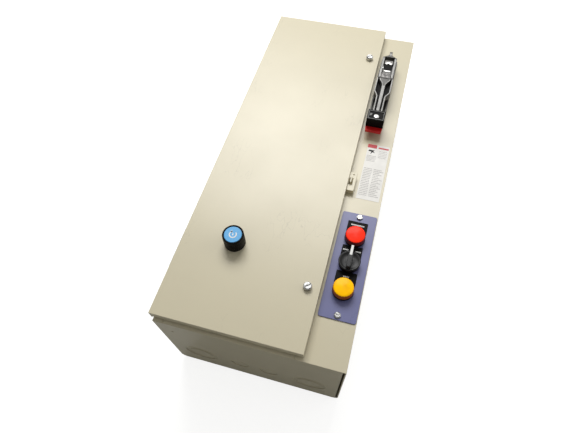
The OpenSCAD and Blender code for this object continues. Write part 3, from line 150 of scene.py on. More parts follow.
def build_scuffs():
    """Thin wandering marks that lie in patches."""
    tree, given, result = effect("scuffs", {"Size": 0.012, "Patch": 0.07, "Amount": 0.5}, ["Scuff"])
    where = place(tree, (1, 1, 0.45))
    off_middle = math_node(tree, "SUBTRACT", noise(tree, where, given["Size"], 3.0), 0.5)
    line = math_node(tree, "ABSOLUTE", off_middle)
    thin = math_node(tree, "SUBTRACT", 1.0, ramp(tree, line, 0.0, 0.012))
    patch = ramp(tree, noise(tree, place(tree), given["Patch"], 2.0), 0.55, 0.68)
    marks = math_node(tree, "MULTIPLY", math_node(tree, "MULTIPLY", thin, patch), given["Amount"], True)
    tree.links.new(marks, result["Scuff"])
    return tree


def build_dust():
    """Dust that settles on faces that look up, and a little everywhere."""
    tree, given, result = effect("settled_dust", {"Amount": 0.3, "Patch": 0.03}, ["Dust"])
    facing_up = ramp(tree, facing(tree, "Z"), 0.2, 1.0)
    patch = ramp(tree, noise(tree, place(tree), given["Patch"], 6.0, 0.7), 0.35, 0.75)
    settled = math_node(tree, "MULTIPLY", math_node(tree, "ADD", facing_up, 0.12), patch)
    tree.links.new(math_node(tree, "MULTIPLY", settled, given["Amount"], True), result["Dust"])
    return tree


def build_bloom():
    """The patchwork of a plated or cast surface."""
    tree, given, result = effect("metal_bloom", {"Crystal": 0.003, "Drag": 0.0006}, ["Crystal", "Drag"])
    cells = add_node(
        tree, "ShaderNodeTexVoronoi",
        {"Vector": place(tree), "Scale": math_node(tree, "DIVIDE", 1.0, given["Crystal"])},
    )
    shade = add_node(tree, "ShaderNodeSeparateColor", {0: cells.outputs["Color"]}).outputs["Red"]
    tree.links.new(shade, result["Crystal"])
    tree.links.new(noise(tree, place(tree, (1, 1, 0.04)), given["Drag"], 2.0), result["Drag"])
    return tree


EFFECTS = {
    "cloud": build_cloud(),
    "edges": build_rubbed_edges(),
    "scuffs": build_scuffs(),
    "dust": build_dust(),
    "bloom": build_bloom(),
}


def use(tree, name, **values):
    """Places one of the shared effects with its own values and gives its outputs."""
    made = tree.nodes.new("ShaderNodeGroup")
    made.node_tree = EFFECTS[name]
    for label, value in values.items():
        made.inputs[label.capitalize()].default_value = value
    return made.outputs


# ------------------------------------------------------------------ finishes
def start_finish(name):
    """An empty material with one shader linked to its output."""
    finish = bpy.data.materials.new(name)
    finish.use_nodes = True
    tree = finish.node_tree
    tree.nodes.clear()
    shader = tree.nodes.new("ShaderNodeBsdfPrincipled")
    out = tree.nodes.new("ShaderNodeOutputMaterial")
    tree.links.new(shader.outputs["BSDF"], out.inputs["Surface"])
    return finish, tree, shader


def feed(tree, shader, **sockets):
    """Links outputs to, or sets values on, the shader's sockets. An underscore stands for a space."""
    for name, value in sockets.items():
        socket = shader.inputs[name.replace("_", " ")]
        if isinstance(value, bpy.types.NodeSocket):
            tree.links.new(value, socket)
        else:
            socket.default_value = value


def relief(tree, height, depth):
    """A normal for a height between 0 and 1 that stands depth proud."""
    return add_node(tree, "ShaderNodeBump", {"Height": height, "Distance": depth}).outputs["Normal"]


def shade(colour, amount):
    """A colour made lighter or darker by a factor."""
    return tuple(channel * amount for channel in colour[:3]) + (1,)


BARE_STEEL = (0.30, 0.28, 0.25, 1)
DUST_ON_PAINT = (0.42, 0.39, 0.33, 1)
DUST_ON_PLASTIC = (0.36, 0.34, 0.30, 1)
DUST_ON_CASTING = (0.33, 0.31, 0.27, 1)
PALE_PLASTIC = (0.28, 0.28, 0.27, 1)
ORANGE_PEEL = 0.012 * MM


def enamel(name, colour, gloss=0.34, wear=0.5, scuff=0.35):
    """Baked paint on sheet steel, with orange peel, scuffs and rubbed corners."""
    finish, tree, shader = start_finish(name)
    cloud = use(tree, "cloud", patch=0.11, fleck=0.0022)
    rubbed = use(tree, "edges", width=0.0009, breakup=0.009, amount=wear)["Rubbed"]
    scuffed = use(tree, "scuffs", size=0.016, patch=0.09, amount=scuff)["Scuff"]
    dusty = use(tree, "dust", amount=0.25, patch=0.05)["Dust"]
    even = mix_colour(tree, cloud["Cloud"], shade(colour, 1.05), shade(colour, 0.94))
    marked = mix_colour(tree, scuffed, even, shade(colour, 0.62))
    greyed = mix_colour(tree, dusty, marked, DUST_ON_PAINT)
    worn = mix_colour(tree, rubbed, greyed, BARE_STEEL)
    rough = scaled(tree, cloud["Cloud"], 0.14, gloss - 0.07)
    rough = math_node(tree, "ADD", rough, math_node(tree, "MULTIPLY", dusty, 0.3))
    normal = relief(tree, cloud["Fleck"], ORANGE_PEEL)
    feed(tree, shader, Base_Color=worn, Roughness=rough, Normal=normal, Coat_Weight=0.12, Coat_Roughness=0.25)
    return finish


def plastic(name, colour, rough=0.42, grain=0.02, wear=0.35, dust=0.2, pale=PALE_PLASTIC, shine=0.5):
    """Moulded plastic with a fine grain, in millimetres, and edges that have gone pale."""
    finish, tree, shader = start_finish(name)
    cloud = use(tree, "cloud", patch=0.02, fleck=0.0006)
    rubbed = use(tree, "edges", width=0.0004, breakup=0.004, amount=wear)["Rubbed"]
    dusty = use(tree, "dust", amount=dust, patch=0.02)["Dust"]
    even = mix_colour(tree, cloud["Cloud"], shade(colour, 1.15), shade(colour, 0.85))
    worn = mix_colour(tree, rubbed, even, pale)
    greyed = mix_colour(tree, dusty, worn, DUST_ON_PLASTIC)
    uneven = scaled(tree, cloud["Cloud"], 0.18, rough - 0.09)
    normal = relief(tree, cloud["Fleck"], grain * MM)
    feed(tree, shader, Base_Color=greyed, Roughness=uneven, Normal=normal, Specular_IOR_Level=shine)
    return finish


DRAG_DEPTH = 0.004 * MM


def plated(name, colour, rough, crystal=0.0025, dull=0.6):
    """Plated or drawn metal with a faint patchwork and drag lines."""
    finish, tree, shader = start_finish(name)
    bloom = use(tree, "bloom", crystal=crystal, drag=0.0004)
    cloud = use(tree, "cloud", patch=0.012, fleck=0.001)
    tarnish = ramp(tree, cloud["Cloud"], 0.5, 0.8)
    even = mix_colour(tree, bloom["Crystal"], colour, shade(colour, 0.82))
    dulled = mix_colour(tree, math_node(tree, "MULTIPLY", tarnish, dull), even, shade(colour, 0.5))
    uneven = scaled(tree, bloom["Crystal"], 0.12, rough - 0.04)
    uneven = math_node(tree, "ADD", uneven, math_node(tree, "MULTIPLY", tarnish, 0.2))
    normal = relief(tree, bloom["Drag"], DRAG_DEPTH)
    feed(tree, shader, Base_Color=dulled, Roughness=uneven, Normal=normal, Metallic=1.0)
    return finish


RUBBED_ZINC = (0.66, 0.65, 0.62, 1)


def casting(name, colour, bright=RUBBED_ZINC, wear=1.0, patch=0.015, contrast=0.25):
    """Die-cast zinc under a thin grey coat that has rubbed bright along its edges."""
    finish, tree, shader = start_finish(name)
    cloud = use(tree, "cloud", patch=patch, fleck=0.0009)
    rubbed = use(tree, "edges", width=0.0007, breakup=0.003, amount=wear)["Rubbed"]
    dusty = use(tree, "dust", amount=0.3, patch=0.012)["Dust"]
    blotch = ramp(tree, cloud["Cloud"], 0.3, 0.7)
    even = mix_colour(tree, blotch, shade(colour, 1 + contrast), shade(colour, 1 - contrast))
    worn = mix_colour(tree, rubbed, even, bright)
    greyed = mix_colour(tree, dusty, worn, DUST_ON_CASTING)
    metal = scaled(tree, rubbed, 0.5, 0.25)
    uneven = scaled(tree, cloud["Cloud"], 0.2, 0.4)
    feed(
        tree, shader, Base_Color=greyed, Roughness=uneven, Metallic=metal,
        Normal=relief(tree, cloud["Fleck"], 0.05 * MM),
    )
    return finish


def lens_plastic(name, deep, bright, painted_light_strength):
    """Clear coloured plastic over a reflector, lighter towards its middle with a painted glow: faces that
    look to the front glow, lighter and darker in patches, standing for light thrown back by the reflector;
    the sides are deeper and unlit.
    """
    finish, tree, shader = start_finish(name)
    cloud = use(tree, "cloud", patch=0.011, fleck=0.0015)
    # painted light: the lighter and darker patches of the glow stand for the reflector's lit facets
    clear = mix_colour(tree, ramp(tree, cloud["Cloud"], 0.35, 0.65), bright, shade(bright, 0.8))
    to_front = math_node(tree, "MULTIPLY", facing(tree, "Y"), -1.0)
    side = ramp(tree, to_front, 0.75, 0.35)
    body = mix_colour(tree, side, clear, deep)
    # painted glow: the front faces shine with their own light, the sides not at all
    painted_light_colour = mix_colour(tree, side, clear, BLACK)
    feed(
        tree, shader, Base_Color=body, Roughness=0.3, Emission_Color=painted_light_colour, Emission_Strength=painted_light_strength,
        Specular_IOR_Level=0.12, Normal=relief(tree, cloud["Fleck"], 0.03 * MM),
    )
    return finish


BAND_SCALE = 0.314   # the wave texture's scale times the width of one band
BAND_DEPTH = 0.15 * MM


def banded(name, colour, dark, band, direction, rough, metal=0.0):
    """Layers side by side, such as laminations or turns of wire, each band wide."""
    finish, tree, shader = start_finish(name)
    wave = add_node(
        tree, "ShaderNodeTexWave",
        {"Vector": place(tree), "Scale": BAND_SCALE / band, "Distortion": 0.6, "Detail": 1.0},
        wave_type="BANDS", bands_direction=direction,
    ).outputs["Fac"]
    cloud = use(tree, "cloud", patch=0.012, fleck=0.0008)
    layered = mix_colour(tree, wave, dark, colour)
    stained = mix_colour(tree, ramp(tree, cloud["Cloud"], 0.45, 0.8), layered, dark)
    uneven = scaled(tree, cloud["Cloud"], 0.2, rough - 0.1)
    feed(
        tree, shader, Base_Color=stained, Roughness=uneven, Metallic=metal,
        Normal=relief(tree, wave, BAND_DEPTH),
    )
    return finish


def paper(name, colour):
    """A laminated sticker that has yellowed and picked up grime."""
    finish, tree, shader = start_finish(name)
    cloud = use(tree, "cloud", patch=0.02, fleck=0.0008)
    grime = use(tree, "scuffs", size=0.006, patch=0.03, amount=0.3)["Scuff"]
    aged = mix_colour(tree, ramp(tree, cloud["Cloud"], 0.35, 0.75), colour, shade(colour, 0.9))
    stained = mix_colour(tree, grime, aged, shade(colour, 0.55))
    rough = scaled(tree, cloud["Cloud"], 0.15, 0.3)
    feed(tree, shader, Base_Color=stained, Roughness=rough, Normal=relief(tree, cloud["Fleck"], 0.008 * MM))
    return finish


BEIGE = (0.655, 0.595, 0.425, 1)
FINISHES = {
    "paint": enamel("beige_enamel", BEIGE),
    "pan_paint": enamel("white_pan_enamel", (0.66, 0.66, 0.63, 1), gloss=0.4, scuff=0.2),
    "plate_paint": enamel("violet_plate_enamel", (0.135, 0.143, 0.31, 1), gloss=0.42, wear=0.25, scuff=0.5),
    "zinc": plated("zinc_plate", (0.55, 0.55, 0.53, 1), rough=0.36),
    "bright_zinc": plated("bright_zinc_plate", (0.60, 0.60, 0.59, 1), rough=0.22, dull=0.4),
    "brass": plated("brass_bar", (0.72, 0.52, 0.22, 1), rough=0.32),
    "aluminium_lug": plated("tinned_lug", (0.70, 0.71, 0.72, 1), rough=0.34, crystal=0.0012),
    "label": paper("label_film", (0.80, 0.78, 0.73, 1)),
    "black_plastic": plastic(
        "black_moulding", (0.005, 0.005, 0.0045, 1), rough=0.45, dust=0.012, wear=0.12, shine=0.07,
    ),
    "knob_plastic": plastic(
        "knob_moulding", (0.010, 0.010, 0.010, 1), rough=0.34, dust=0.03, wear=0.5, shine=0.3,
    ),
    "blue_plastic": plastic(
        "blue_cap_moulding", (0.085, 0.42, 0.80, 1),
        rough=0.32, wear=0.1, dust=0.05, pale=(0.3, 0.55, 0.8, 1),
    ),
    "dark_casting": casting("dark_casting", (0.10, 0.096, 0.085, 1), (0.48, 0.47, 0.44, 1)),
    "grey_casting": casting("grey_casting", (0.105, 0.102, 0.096, 1)),
    "red_plastic": plastic(
        "red_cap_moulding", (0.66, 0.006, 0.006, 1), wear=0.05, dust=0.02, pale=(0.6, 0.2, 0.18, 1),
    ),
    "breaker_plastic": plastic("breaker_moulding", (0.022, 0.023, 0.026, 1), rough=0.5, grain=0.04),
    "orange_plastic": plastic(
        "orange_dial_moulding", (0.75, 0.14, 0.02, 1), wear=0.1, pale=(0.8, 0.4, 0.2, 1),
    ),
    "ivory_plastic": plastic(
        "ivory_moulding", (0.62, 0.58, 0.46, 1), wear=0.1, pale=(0.7, 0.68, 0.6, 1),
    ),
    "grey_plastic": plastic("grey_moulding", (0.10, 0.105, 0.11, 1), rough=0.5, grain=0.04),
    "ceramic": plastic("fuse_ceramic", (0.66, 0.63, 0.55, 1), rough=0.28, grain=0.01, wear=0.0),
    "coil_wrap": banded(
        "coil_winding", (0.36, 0.11, 0.035, 1), (0.13, 0.04, 0.015, 1),
        band=5.02655 * MM, direction="Z", rough=0.4,
    ),
    "core_steel": banded(
        "core_laminations", (0.20, 0.21, 0.22, 1), (0.05, 0.05, 0.055, 1),
        band=3.76991 * MM, direction="Y", rough=0.45, metal=0.7,
    ),
    # painted glow: both lenses shine with their own light, standing for light thrown back by their reflectors
    "red_lens": lens_plastic(
        "red_lens_plastic", (0.16, 0.002, 0.002, 1), (0.96, 0.03, 0.008, 1), painted_light_strength=0.4,
    ),
    "amber_lens": lens_plastic(
        "amber_lens_plastic", (0.40, 0.09, 0.0, 1), (0.97, 0.50, 0.0, 1), painted_light_strength=0.35,
    ),
    "wire_black": plastic("black_insulation", (0.018, 0.018, 0.018, 1), rough=0.45, grain=0.01),
    "wire_red": plastic("red_insulation", (0.45, 0.03, 0.02, 1), rough=0.45, grain=0.01, wear=0.05),
    "white_mark": plastic(
        "white_filled_mark", (0.86, 0.86, 0.83, 1), rough=0.4, grain=0.01, wear=0.0,
    ),
    "red_print": plastic(
        "red_ink", (0.55, 0.012, 0.02, 1), rough=0.4, wear=0.3, pale=(0.8, 0.6, 0.58, 1),
    ),
    "black_print": plastic(
        "black_ink", (0.006, 0.006, 0.006, 1), rough=0.5, dust=0.02, wear=0.05, shine=0.08,
    ),
    "grey_print": plastic("grey_ink", (0.38, 0.36, 0.34, 1), rough=0.45, grain=0.004, wear=0.0),
    "bright_rim": plated("polished_rim", RUBBED_ZINC, rough=0.3, dull=0.4),
    # painted highlights: the light grey casting of the strips that stand for light along the handle's edges
    "painted_highlight_casting": casting("painted_highlight_casting", (0.34, 0.335, 0.32, 1), wear=0.8),
    "printed_field": casting("printed_field", (0.22, 0.21, 0.20, 1), patch=0.0045, contrast=0.85),
    "grey_line_finish": plastic(
        "thin_grey_line", (0.16, 0.16, 0.15, 1), rough=0.5, wear=0.6, pale=(0.4, 0.4, 0.38, 1),
    ),
}


def node_slots():
    """The material slot that the record gives each CAD node."""
    return {part["node"]: part["material_slot"] for part in frame["record"]["subparts"]}


def dress_cad_nodes():
    for node_name, slot_name in node_slots().items():
        mesh = frame["nodes"][node_name].data
        mesh.materials.clear()
        mesh.materials.append(FINISHES[slot_name])


dress_cad_nodes()


# ------------------------------------------------------------------ softened corners of the modelled nodes
def build_smooth_shading():
    """A modifier group that shades every face smooth; the even normals then keep the flat faces flat."""
    tree = bpy.data.node_groups.new("smooth_shading", "GeometryNodeTree")
    tree.interface.new_socket("Geometry", in_out="INPUT", socket_type="NodeSocketGeometry")
    tree.interface.new_socket("Geometry", in_out="OUTPUT", socket_type="NodeSocketGeometry")
    shaded = tree.nodes.new("GeometryNodeSetShadeSmooth")
    tree.links.new(tree.nodes.new("NodeGroupInput").outputs[0], shaded.inputs["Geometry"])
    tree.links.new(shaded.outputs["Geometry"], tree.nodes.new("NodeGroupOutput").inputs[0])
    return tree


SMOOTH_SHADING = build_smooth_shading()
UNSOFTENED = {"power_wires", "control_wires", "flange_label", "reset_spring", "conduit_knockouts"}
CORNER_WIDTHS = {    # in millimetres, by material slot
    "paint": 0.45, "pan_paint": 0.45, "plate_paint": 0.35, "zinc": 0.2, "bright_zinc": 0.2,
    "black_plastic": 0.35, "breaker_plastic": 0.7, "blue_plastic": 0.8, "red_plastic": 0.6,
    "dark_casting": 0.4, "grey_casting": 0.35,
}
USUAL_CORNER = 0.25
CORNER_STEPS = 2
SHARP_TURN = 32      # in degrees: an edge that turns less than this isn't rounded
FLAT_TURN = 0.6      # in degrees: facets that differ less than this become one flat face
WELD_GAP = 0.002     # in millimetres: points nearer than this become one
FULL_WEIGHT = 100    # larger faces decide the normal altogether


def soften(piece, width):
    """Rounds a piece's sharp corners by width, in millimetres."""
    weld = piece.modifiers.new("weld", "WELD")
    weld.merge_threshold = WELD_GAP * MM
    flat = piece.modifiers.new("flat_faces", "DECIMATE")
    flat.decimate_type = "DISSOLVE"
    flat.angle_limit = math.radians(FLAT_TURN)
    piece.modifiers.new("smooth_shading", "NODES").node_group = SMOOTH_SHADING
    corner = piece.modifiers.new("rounded_corners", "BEVEL")
    corner.width, corner.segments = width * MM, CORNER_STEPS
    corner.limit_method, corner.angle_limit = "ANGLE", math.radians(SHARP_TURN)
    corner.use_clamp_overlap = False
    even = piece.modifiers.new("even_normals", "WEIGHTED_NORMAL")
    even.mode, even.weight, even.keep_sharp = "FACE_AREA", FULL_WEIGHT, False


def soften_cad_nodes():
    for node_name, slot_name in node_slots().items():
        if node_name not in UNSOFTENED:
            soften(frame["nodes"][node_name], CORNER_WIDTHS.get(slot_name, USUAL_CORNER))


soften_cad_nodes()


# ------------------------------------------------------------------ making small fittings
def add_piece(name, points, faces, finish, body, corner=0.0, smooth=False):
    """A new piece from points in millimetres, dressed and set to ride on a body."""
    mesh = bpy.data.meshes.new(name)
    mesh.from_pydata([Vector(point) * MM for point in points], [], faces)
    shape = bmesh.new()
    shape.from_mesh(mesh)
    bmesh.ops.recalc_face_normals(shape, faces=shape.faces)
    shape.to_mesh(mesh)
    shape.free()
    for polygon in mesh.polygons:
        polygon.use_smooth = smooth
    mesh.materials.append(finish)
    piece = bpy.data.objects.new(name, mesh)
    bpy.context.scene.collection.objects.link(piece)
    if corner:
        soften(piece, corner)
    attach(piece, body)
    return piece


class Outline:
    """Collects flat shapes that face the front and have a thickness, to make one piece of them."""

    def __init__(self):
        self.points, self.faces = [], []

    def shape(self, outline, front, back):
        """A closed outline of (x, z) points between two values of y."""
        first, count = len(self.points), len(outline)
        self.points += [(x, front, z) for x, z in outline] + [(x, back, z) for x, z in outline]
        self.faces.append(tuple(first + i for i in range(count)))
        self.faces.append(tuple(first + count + i for i in reversed(range(count))))
        for i in range(count):
            after = (i + 1) % count
            self.faces.append((first + i, first + after, first + count + after, first + count + i))

    def around(self, x, z, outline, front, back):
        """A closed outline whose points are measured from a middle."""
        self.shape([(x + right, z + up) for right, up in outline], front, back)

    def bar(self, x0, x1, z0, z1, front, back):
        self.shape([(x0, z0), (x1, z0), (x1, z1), (x0, z1)], front, back)

    def frame(self, x0, x1, z0, z1, line, front, back):
        """A thin rectangular line."""
        self.bar(x0, x1, z1 - line, z1, front, back)
        self.bar(x0, x1, z0, z0 + line, front, back)
        self.bar(x0, x0 + line, z0 + line, z1 - line, front, back)
        self.bar(x1 - line, x1, z0 + line, z1 - line, front, back)

    def make(self, name, finish, slot, body, corner=0.0):
        return add_piece(name, self.points, self.faces, finish, body, corner)


def arc(x, z, radius, start, stop, steps):
    """Points along an arc, with angles in degrees from +X."""
    turns = [math.radians(start + (stop - start) * i / steps) for i in range(steps + 1)]
    return [(x + radius * math.cos(turn), z + radius * math.sin(turn)) for turn in turns]


def turned(name, x, z, profile, finish, body, steps=96, wobble=None, corner=0.0):
    """A turned piece about an axis that faces the front. The profile is (radius, y) from back to front.

    wobble(ring, turn) gives a change of (radius, y) for a ring of the profile at an angle.
    """
    points, faces = [], []
    for ring, (radius, y) in enumerate(profile):
        for i in range(steps):
            turn = 2 * math.pi * i / steps
            wider, nearer = wobble(ring, turn) if wobble else (0, 0)
            reach = radius + wider
            points.append((x + reach * math.cos(turn), y + nearer, z + reach * math.sin(turn)))
    for ring in range(len(profile) - 1):
        for i in range(steps):
            after = (i + 1) % steps
            low, high = ring * steps, (ring + 1) * steps
            faces.append((low + i, low + after, high + after, high + i))
    back_middle, front_middle = len(points), len(points) + 1
    points += [(x, profile[0][1], z), (x, profile[-1][1], z)]
    last = (len(profile) - 1) * steps
    for i in range(steps):
        after = (i + 1) % steps
        faces.append((after, i, back_middle))
        faces.append((last + i, last + after, front_middle))
    return add_piece(name, points, faces, finish, body, corner, smooth=True)


def centre(node):
    """The middle of a node in x and z, and its front and back, in millimetres."""
    low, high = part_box(node)
    return (low.x + high.x) / 2 / MM, (low.z + high.z) / 2 / MM, low.y / MM, high.y / MM


# ------------------------------------------------------------------ pilot lights
LENS_R = 14.5
LENS_DEEP = 10.0     # from the front of the lens back to its ring
LENS_FLUTES = 12
FLUTE_DEEP = 0.32
FACET_TILT = 0.10


def pilot_lens(node, finish):
    """A short fluted drum with a chamfer and a low, faceted dome."""
    x, z, front, back = centre(node)
    ring_y = front + LENS_DEEP
    profile = [
        (LENS_R - 1.6, ring_y + 3), (LENS_R - 0.1, ring_y + 0.2), (LENS_R, ring_y - 0.6),
        (LENS_R - 0.25, front + 3.0), (LENS_R - 0.9, front + 1.5), (LENS_R - 1.6, front + 1.0),
    ]
    domed = [(11.0, 0.82), (9.4, 0.62), (7.0, 0.36), (4.5, 0.16), (2.0, 0.05)]
    profile += [(radius, front + deep) for radius, deep in domed]
    side_rings, facet_rings = (2, 3, 4), (6, 7, 8, 9)

    def wobble(ring, turn):
        if ring in side_rings:
            return -FLUTE_DEEP * abs(math.sin(LENS_FLUTES * turn)), 0
        if ring in facet_rings:
            return 0, FACET_TILT * math.cos(3 * turn + 0.4)
        return 0, 0

    lens = turned(node + "_dome", x, z, profile, finish, "root", steps=144, wobble=wobble)
    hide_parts(node)


pilot_lens("red_lens", FINISHES["red_lens"])
pilot_lens("amber_lens", FINISHES["amber_lens"])


# ------------------------------------------------------------------ selector knob
SELECTOR_Z = (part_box("red_lens")[0].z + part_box("amber_lens")[1].z) / 2 / MM
KNOB_R = 15.2
KNOB_DEEP = 9.0      # from the front of the grip bar back to the face of the knob
GRIP_OUTLINE = [
    (-3.4, 6.5), (-3.4, -10), (-2.4, -13.4), (2.4, -13.4), (3.4, -10), (3.4, 6.5), (2.4, 13.4), (-2.4, 13.4),
]
POINTER_OUTLINE = [(-1.8, 4.6), (1.8, 4.6), (1.7, 19.6), (-1.7, 19.6)]


def selector():
    """A round knob with a dished face and a proud grip bar that ends in a white pointer."""
    x, z = centre("device_bezels")[0], SELECTOR_Z
    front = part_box("selector_knob")[0].y / MM
    face = front + KNOB_DEEP
    black = FINISHES["knob_plastic"]
    profile = [
        (10.8, face + 3.4), (KNOB_R, face + 3.2), (KNOB_R + 0.1, face + 1.4), (KNOB_R - 0.7, face + 0.5),
        (KNOB_R - 1.6, face + 0.25), (12.6, face + 0.9), (9.0, face + 1.6), (6.0, face + 1.5),
        (3.0, face + 1.3),
    ]
    disc = turned("selector_knob_disc", x, z, profile, black, "selector")
    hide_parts("selector_knob")
    grip = Outline()
    grip.around(x, z, GRIP_OUTLINE, front + 0.6, face + 2)
    grip.make("selector_grip_bar", black, "black_plastic", "selector", corner=0.8)
    pointer = Outline()
    pointer.around(x, z, POINTER_OUTLINE, front + 0.02, front + 3.0)
    pointer.make("selector_pointer", FINISHES["white_mark"], "black_plastic", "selector", corner=0.3)


selector()


# ------------------------------------------------------------------ legend plates
PRINT_T = 0.12       # thickness of the printed marks


def printed_row(marks, x0, x1, z, height, gap, front, seed):
    """A row of short blocks of uneven length, where a line of print would be."""
    x, step = x0, seed
    while x < x1 - 0.6:
        step = (step * 5 + 3) % 11
        stop = min(x + 0.7 + step * 0.13, x1)
        marks.bar(x, stop, z - height / 2, z + height / 2, front, front + 2 * PRINT_T)
        x = stop + gap


LEGEND_UP = 22.0     # from the middle of a device to the upper line of print above it
WORD_UP = LEGEND_UP - 1.5
WORD_TALL = 1.8
RIM_HALF, RIM_LOW, RIM_HIGH, RIM_LINE = 13.9, 17.2, 27.6, 0.5


def legend_marks():
    """Rows of print on the three legend plates, and the rims of their inserts."""
    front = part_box("legend_plates")[0].y / MM - PRINT_T
    x, red_z = centre("red_lens")[:2]
    amber_z = centre("amber_lens")[1]
    marks, rims = Outline(), Outline()
    printed_row(marks, x - 9.5, x + 9.5, red_z + LEGEND_UP, 2.0, 0.45, front, 2)
    printed_row(marks, x - 12.6, x - 5.2, SELECTOR_Z + WORD_UP, WORD_TALL, 0.4, front, 5)
    printed_row(marks, x + 5.2, x + 12.6, SELECTOR_Z + WORD_UP, WORD_TALL, 0.4, front, 7)
    printed_row(marks, x - 4.0, x + 4.0, amber_z + WORD_UP, WORD_TALL, 0.4, front, 1)
    marks.make("legend_marks", FINISHES["white_mark"], "black_plastic", "root")
    for z in (red_z, SELECTOR_Z, amber_z):
        rims.frame(
            x - RIM_HALF, x + RIM_HALF, z + RIM_LOW, z + RIM_HIGH, RIM_LINE, front - 0.1, front + 2 * PRINT_T,
        )
    rims.make("legend_insert_rims", FINISHES["black_plastic"], "black_plastic", "root")


legend_marks()


# ------------------------------------------------------------------ reset button
GRIP_R, GRIP_RIBS, RIB_TALL = 14.9, 36, 0.24
ARROW_OUTER, ARROW_INNER = 5.6, 4.0
ARROW_START, ARROW_STOP, ARROW_STEPS = 115, 410, 30
TIP_MIDDLE, TIP_LONG, TIP_HALF = 4.8, 3.0, 2.3


def reset_fittings():
    """Grip ribs round the body and a turning-arrow mark on the cap."""
    x, z, front, _ = centre("reset_bezel")
    profile = [
        (GRIP_R - 0.4, front + 20.5), (GRIP_R, front + 20), (GRIP_R, front + 6), (GRIP_R - 0.4, front + 5.5),
    ]

    def wobble(ring, turn):
        return (RIB_TALL * math.cos(GRIP_RIBS * turn), 0) if ring in (1, 2) else (0, 0)

    turned(
        "reset_grip_ribs", x, z, profile, FINISHES["black_plastic"], "door",
        steps=6 * GRIP_RIBS, wobble=wobble,
    )
    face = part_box("reset_cap")[0].y / MM
    print_front, print_back = face - PRINT_T, face + PRINT_T
    mark = Outline()
    outer = arc(x, z, ARROW_OUTER, ARROW_START, ARROW_STOP, ARROW_STEPS)
    inner = arc(x, z, ARROW_INNER, ARROW_START, ARROW_STOP, ARROW_STEPS)
    for i in range(ARROW_STEPS):
        mark.shape([outer[i], outer[i + 1], inner[i + 1], inner[i]], print_front, print_back)
    turn = math.radians(ARROW_START)
    radial = Vector((math.cos(turn), math.sin(turn)))
    tangent = Vector((math.sin(turn), -math.cos(turn)))
    tip = [TIP_MIDDLE * radial - TIP_LONG * tangent]
    tip += [TIP_MIDDLE * radial + side * TIP_HALF * radial for side in (1, -1)]
    mark.around(x, z, tip, print_front, print_back)
    mark.bar(x - 0.8, x + 0.8, z - 1.6, z + 1.6, print_front, print_back)
    mark.make("reset_mark", FINISHES["white_mark"], "blue_plastic", "reset_button")


reset_fittings()


# ------------------------------------------------------------------ flange label
SIGN_OUTLINE = [
    (3.5, -12), (12.5, -12), (10.2, -14.2), (13.6, -17.4),
    (9.4, -16.0), (6.4, -20.6), (7.4, -15.2), (2.2, -14.6),
]
UPPER_ROWS, LOWER_ROWS, LOWER_STEP = 5, 17, 3.2


def label_print():
    """Header band, pictogram and rows of blocks where the printed lines are."""
    low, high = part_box("flange_label")
    x0, x1, z0, z1 = (value / MM for value in (low.x, high.x, low.z, high.z))
    width = x1 - x0
    front = low.y / MM - PRINT_T
    back = front + 2 * PRINT_T
    band = Outline()
    band.bar(x0, x0 + 0.42 * width, z1 - 7.5, z1 - 0.3, front, back)
    band.bar(x0 + 0.5 * width, x1 - 1.2, z1 - 7.0, z1 - 4.0, front, back)
    band.make("label_band", FINISHES["red_print"], "label", "root")
    sign = Outline()
    sign.around(x0, z1, SIGN_OUTLINE, front, back)
    sign.make("label_sign", FINISHES["black_print"], "label", "root")
    text = Outline()
    for row in range(UPPER_ROWS):
        printed_row(text, x0 + 2, x0 + 0.46 * width, z1 - 24 - 2.6 * row, 0.9, 0.5, front, row + 1)
        printed_row(text, x0 + 0.55 * width, x1 - 2.5, z1 - 12 - 3.2 * row, 0.8, 0.5, front, row + 4)
    for row in range(LOWER_ROWS):
        z = z0 + 8 + LOWER_STEP * row
        stop = x1 - 2.2 - (row * 7 % 5) * 1.6
        printed_row(text, x0 + 2, x0 + 0.42 * width, z, 1.1, 0.5, front, row + 2)
        printed_row(text, x0 + 0.5 * width, stop, z, 1.1, 0.5, front, row + 6)
    text.make("label_lines", FINISHES["grey_print"], "label", "root")


label_print()


# ------------------------------------------------------------------ knockout rims
LARGE_KNOCKOUT_R, MIDDLE_KNOCKOUT_R, SMALL_KNOCKOUT_R = 25.0, 17.45, 14.1
SMALL_KNOCKOUT_X = 22.0
RIM_SECTION = [(-0.9, -0.1), (-0.6, 0.35), (0.0, 0.6), (0.6, 0.35), (0.9, -0.1)]     # (outward, proud)
RIM_STEPS = 72


def knockout_rims():
    """The raised, slightly domed rims that shearing leaves round each knockout, on both end caps."""
    low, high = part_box("conduit_knockouts")
    large_x = high.x / MM - LARGE_KNOCKOUT_R
    y = (low.y + high.y) / 2 / MM
    rings = [(side * large_x, radius) for side in (-1, 1) for radius in (LARGE_KNOCKOUT_R, MIDDLE_KNOCKOUT_R)]
    rings += [(side * SMALL_KNOCKOUT_X, SMALL_KNOCKOUT_R) for side in (-1, 1)]
    sides = len(RIM_SECTION)
    points, faces = [], []
    for way, sheet_z in ((-1, low.z / MM), (1, high.z / MM)):
        for x, radius in rings:
            first = len(points)
            for step in range(RIM_STEPS):
                turn = 2 * math.pi * step / RIM_STEPS
                for wide, tall in RIM_SECTION:
                    reach = radius + wide
                    right, back = x + reach * math.cos(turn), y + reach * math.sin(turn)
                    points.append((right, back, sheet_z + way * tall))
            for step in range(RIM_STEPS):
                here, there = first + step * sides, first + (step + 1) % RIM_STEPS * sides
                for i in range(sides):
                    after = (i + 1) % sides
                    faces.append((here + i, here + after, there + after, there + i))
    add_piece("knockout_rims", points, faces, FINISHES["paint"], "root", smooth=True)


knockout_rims()


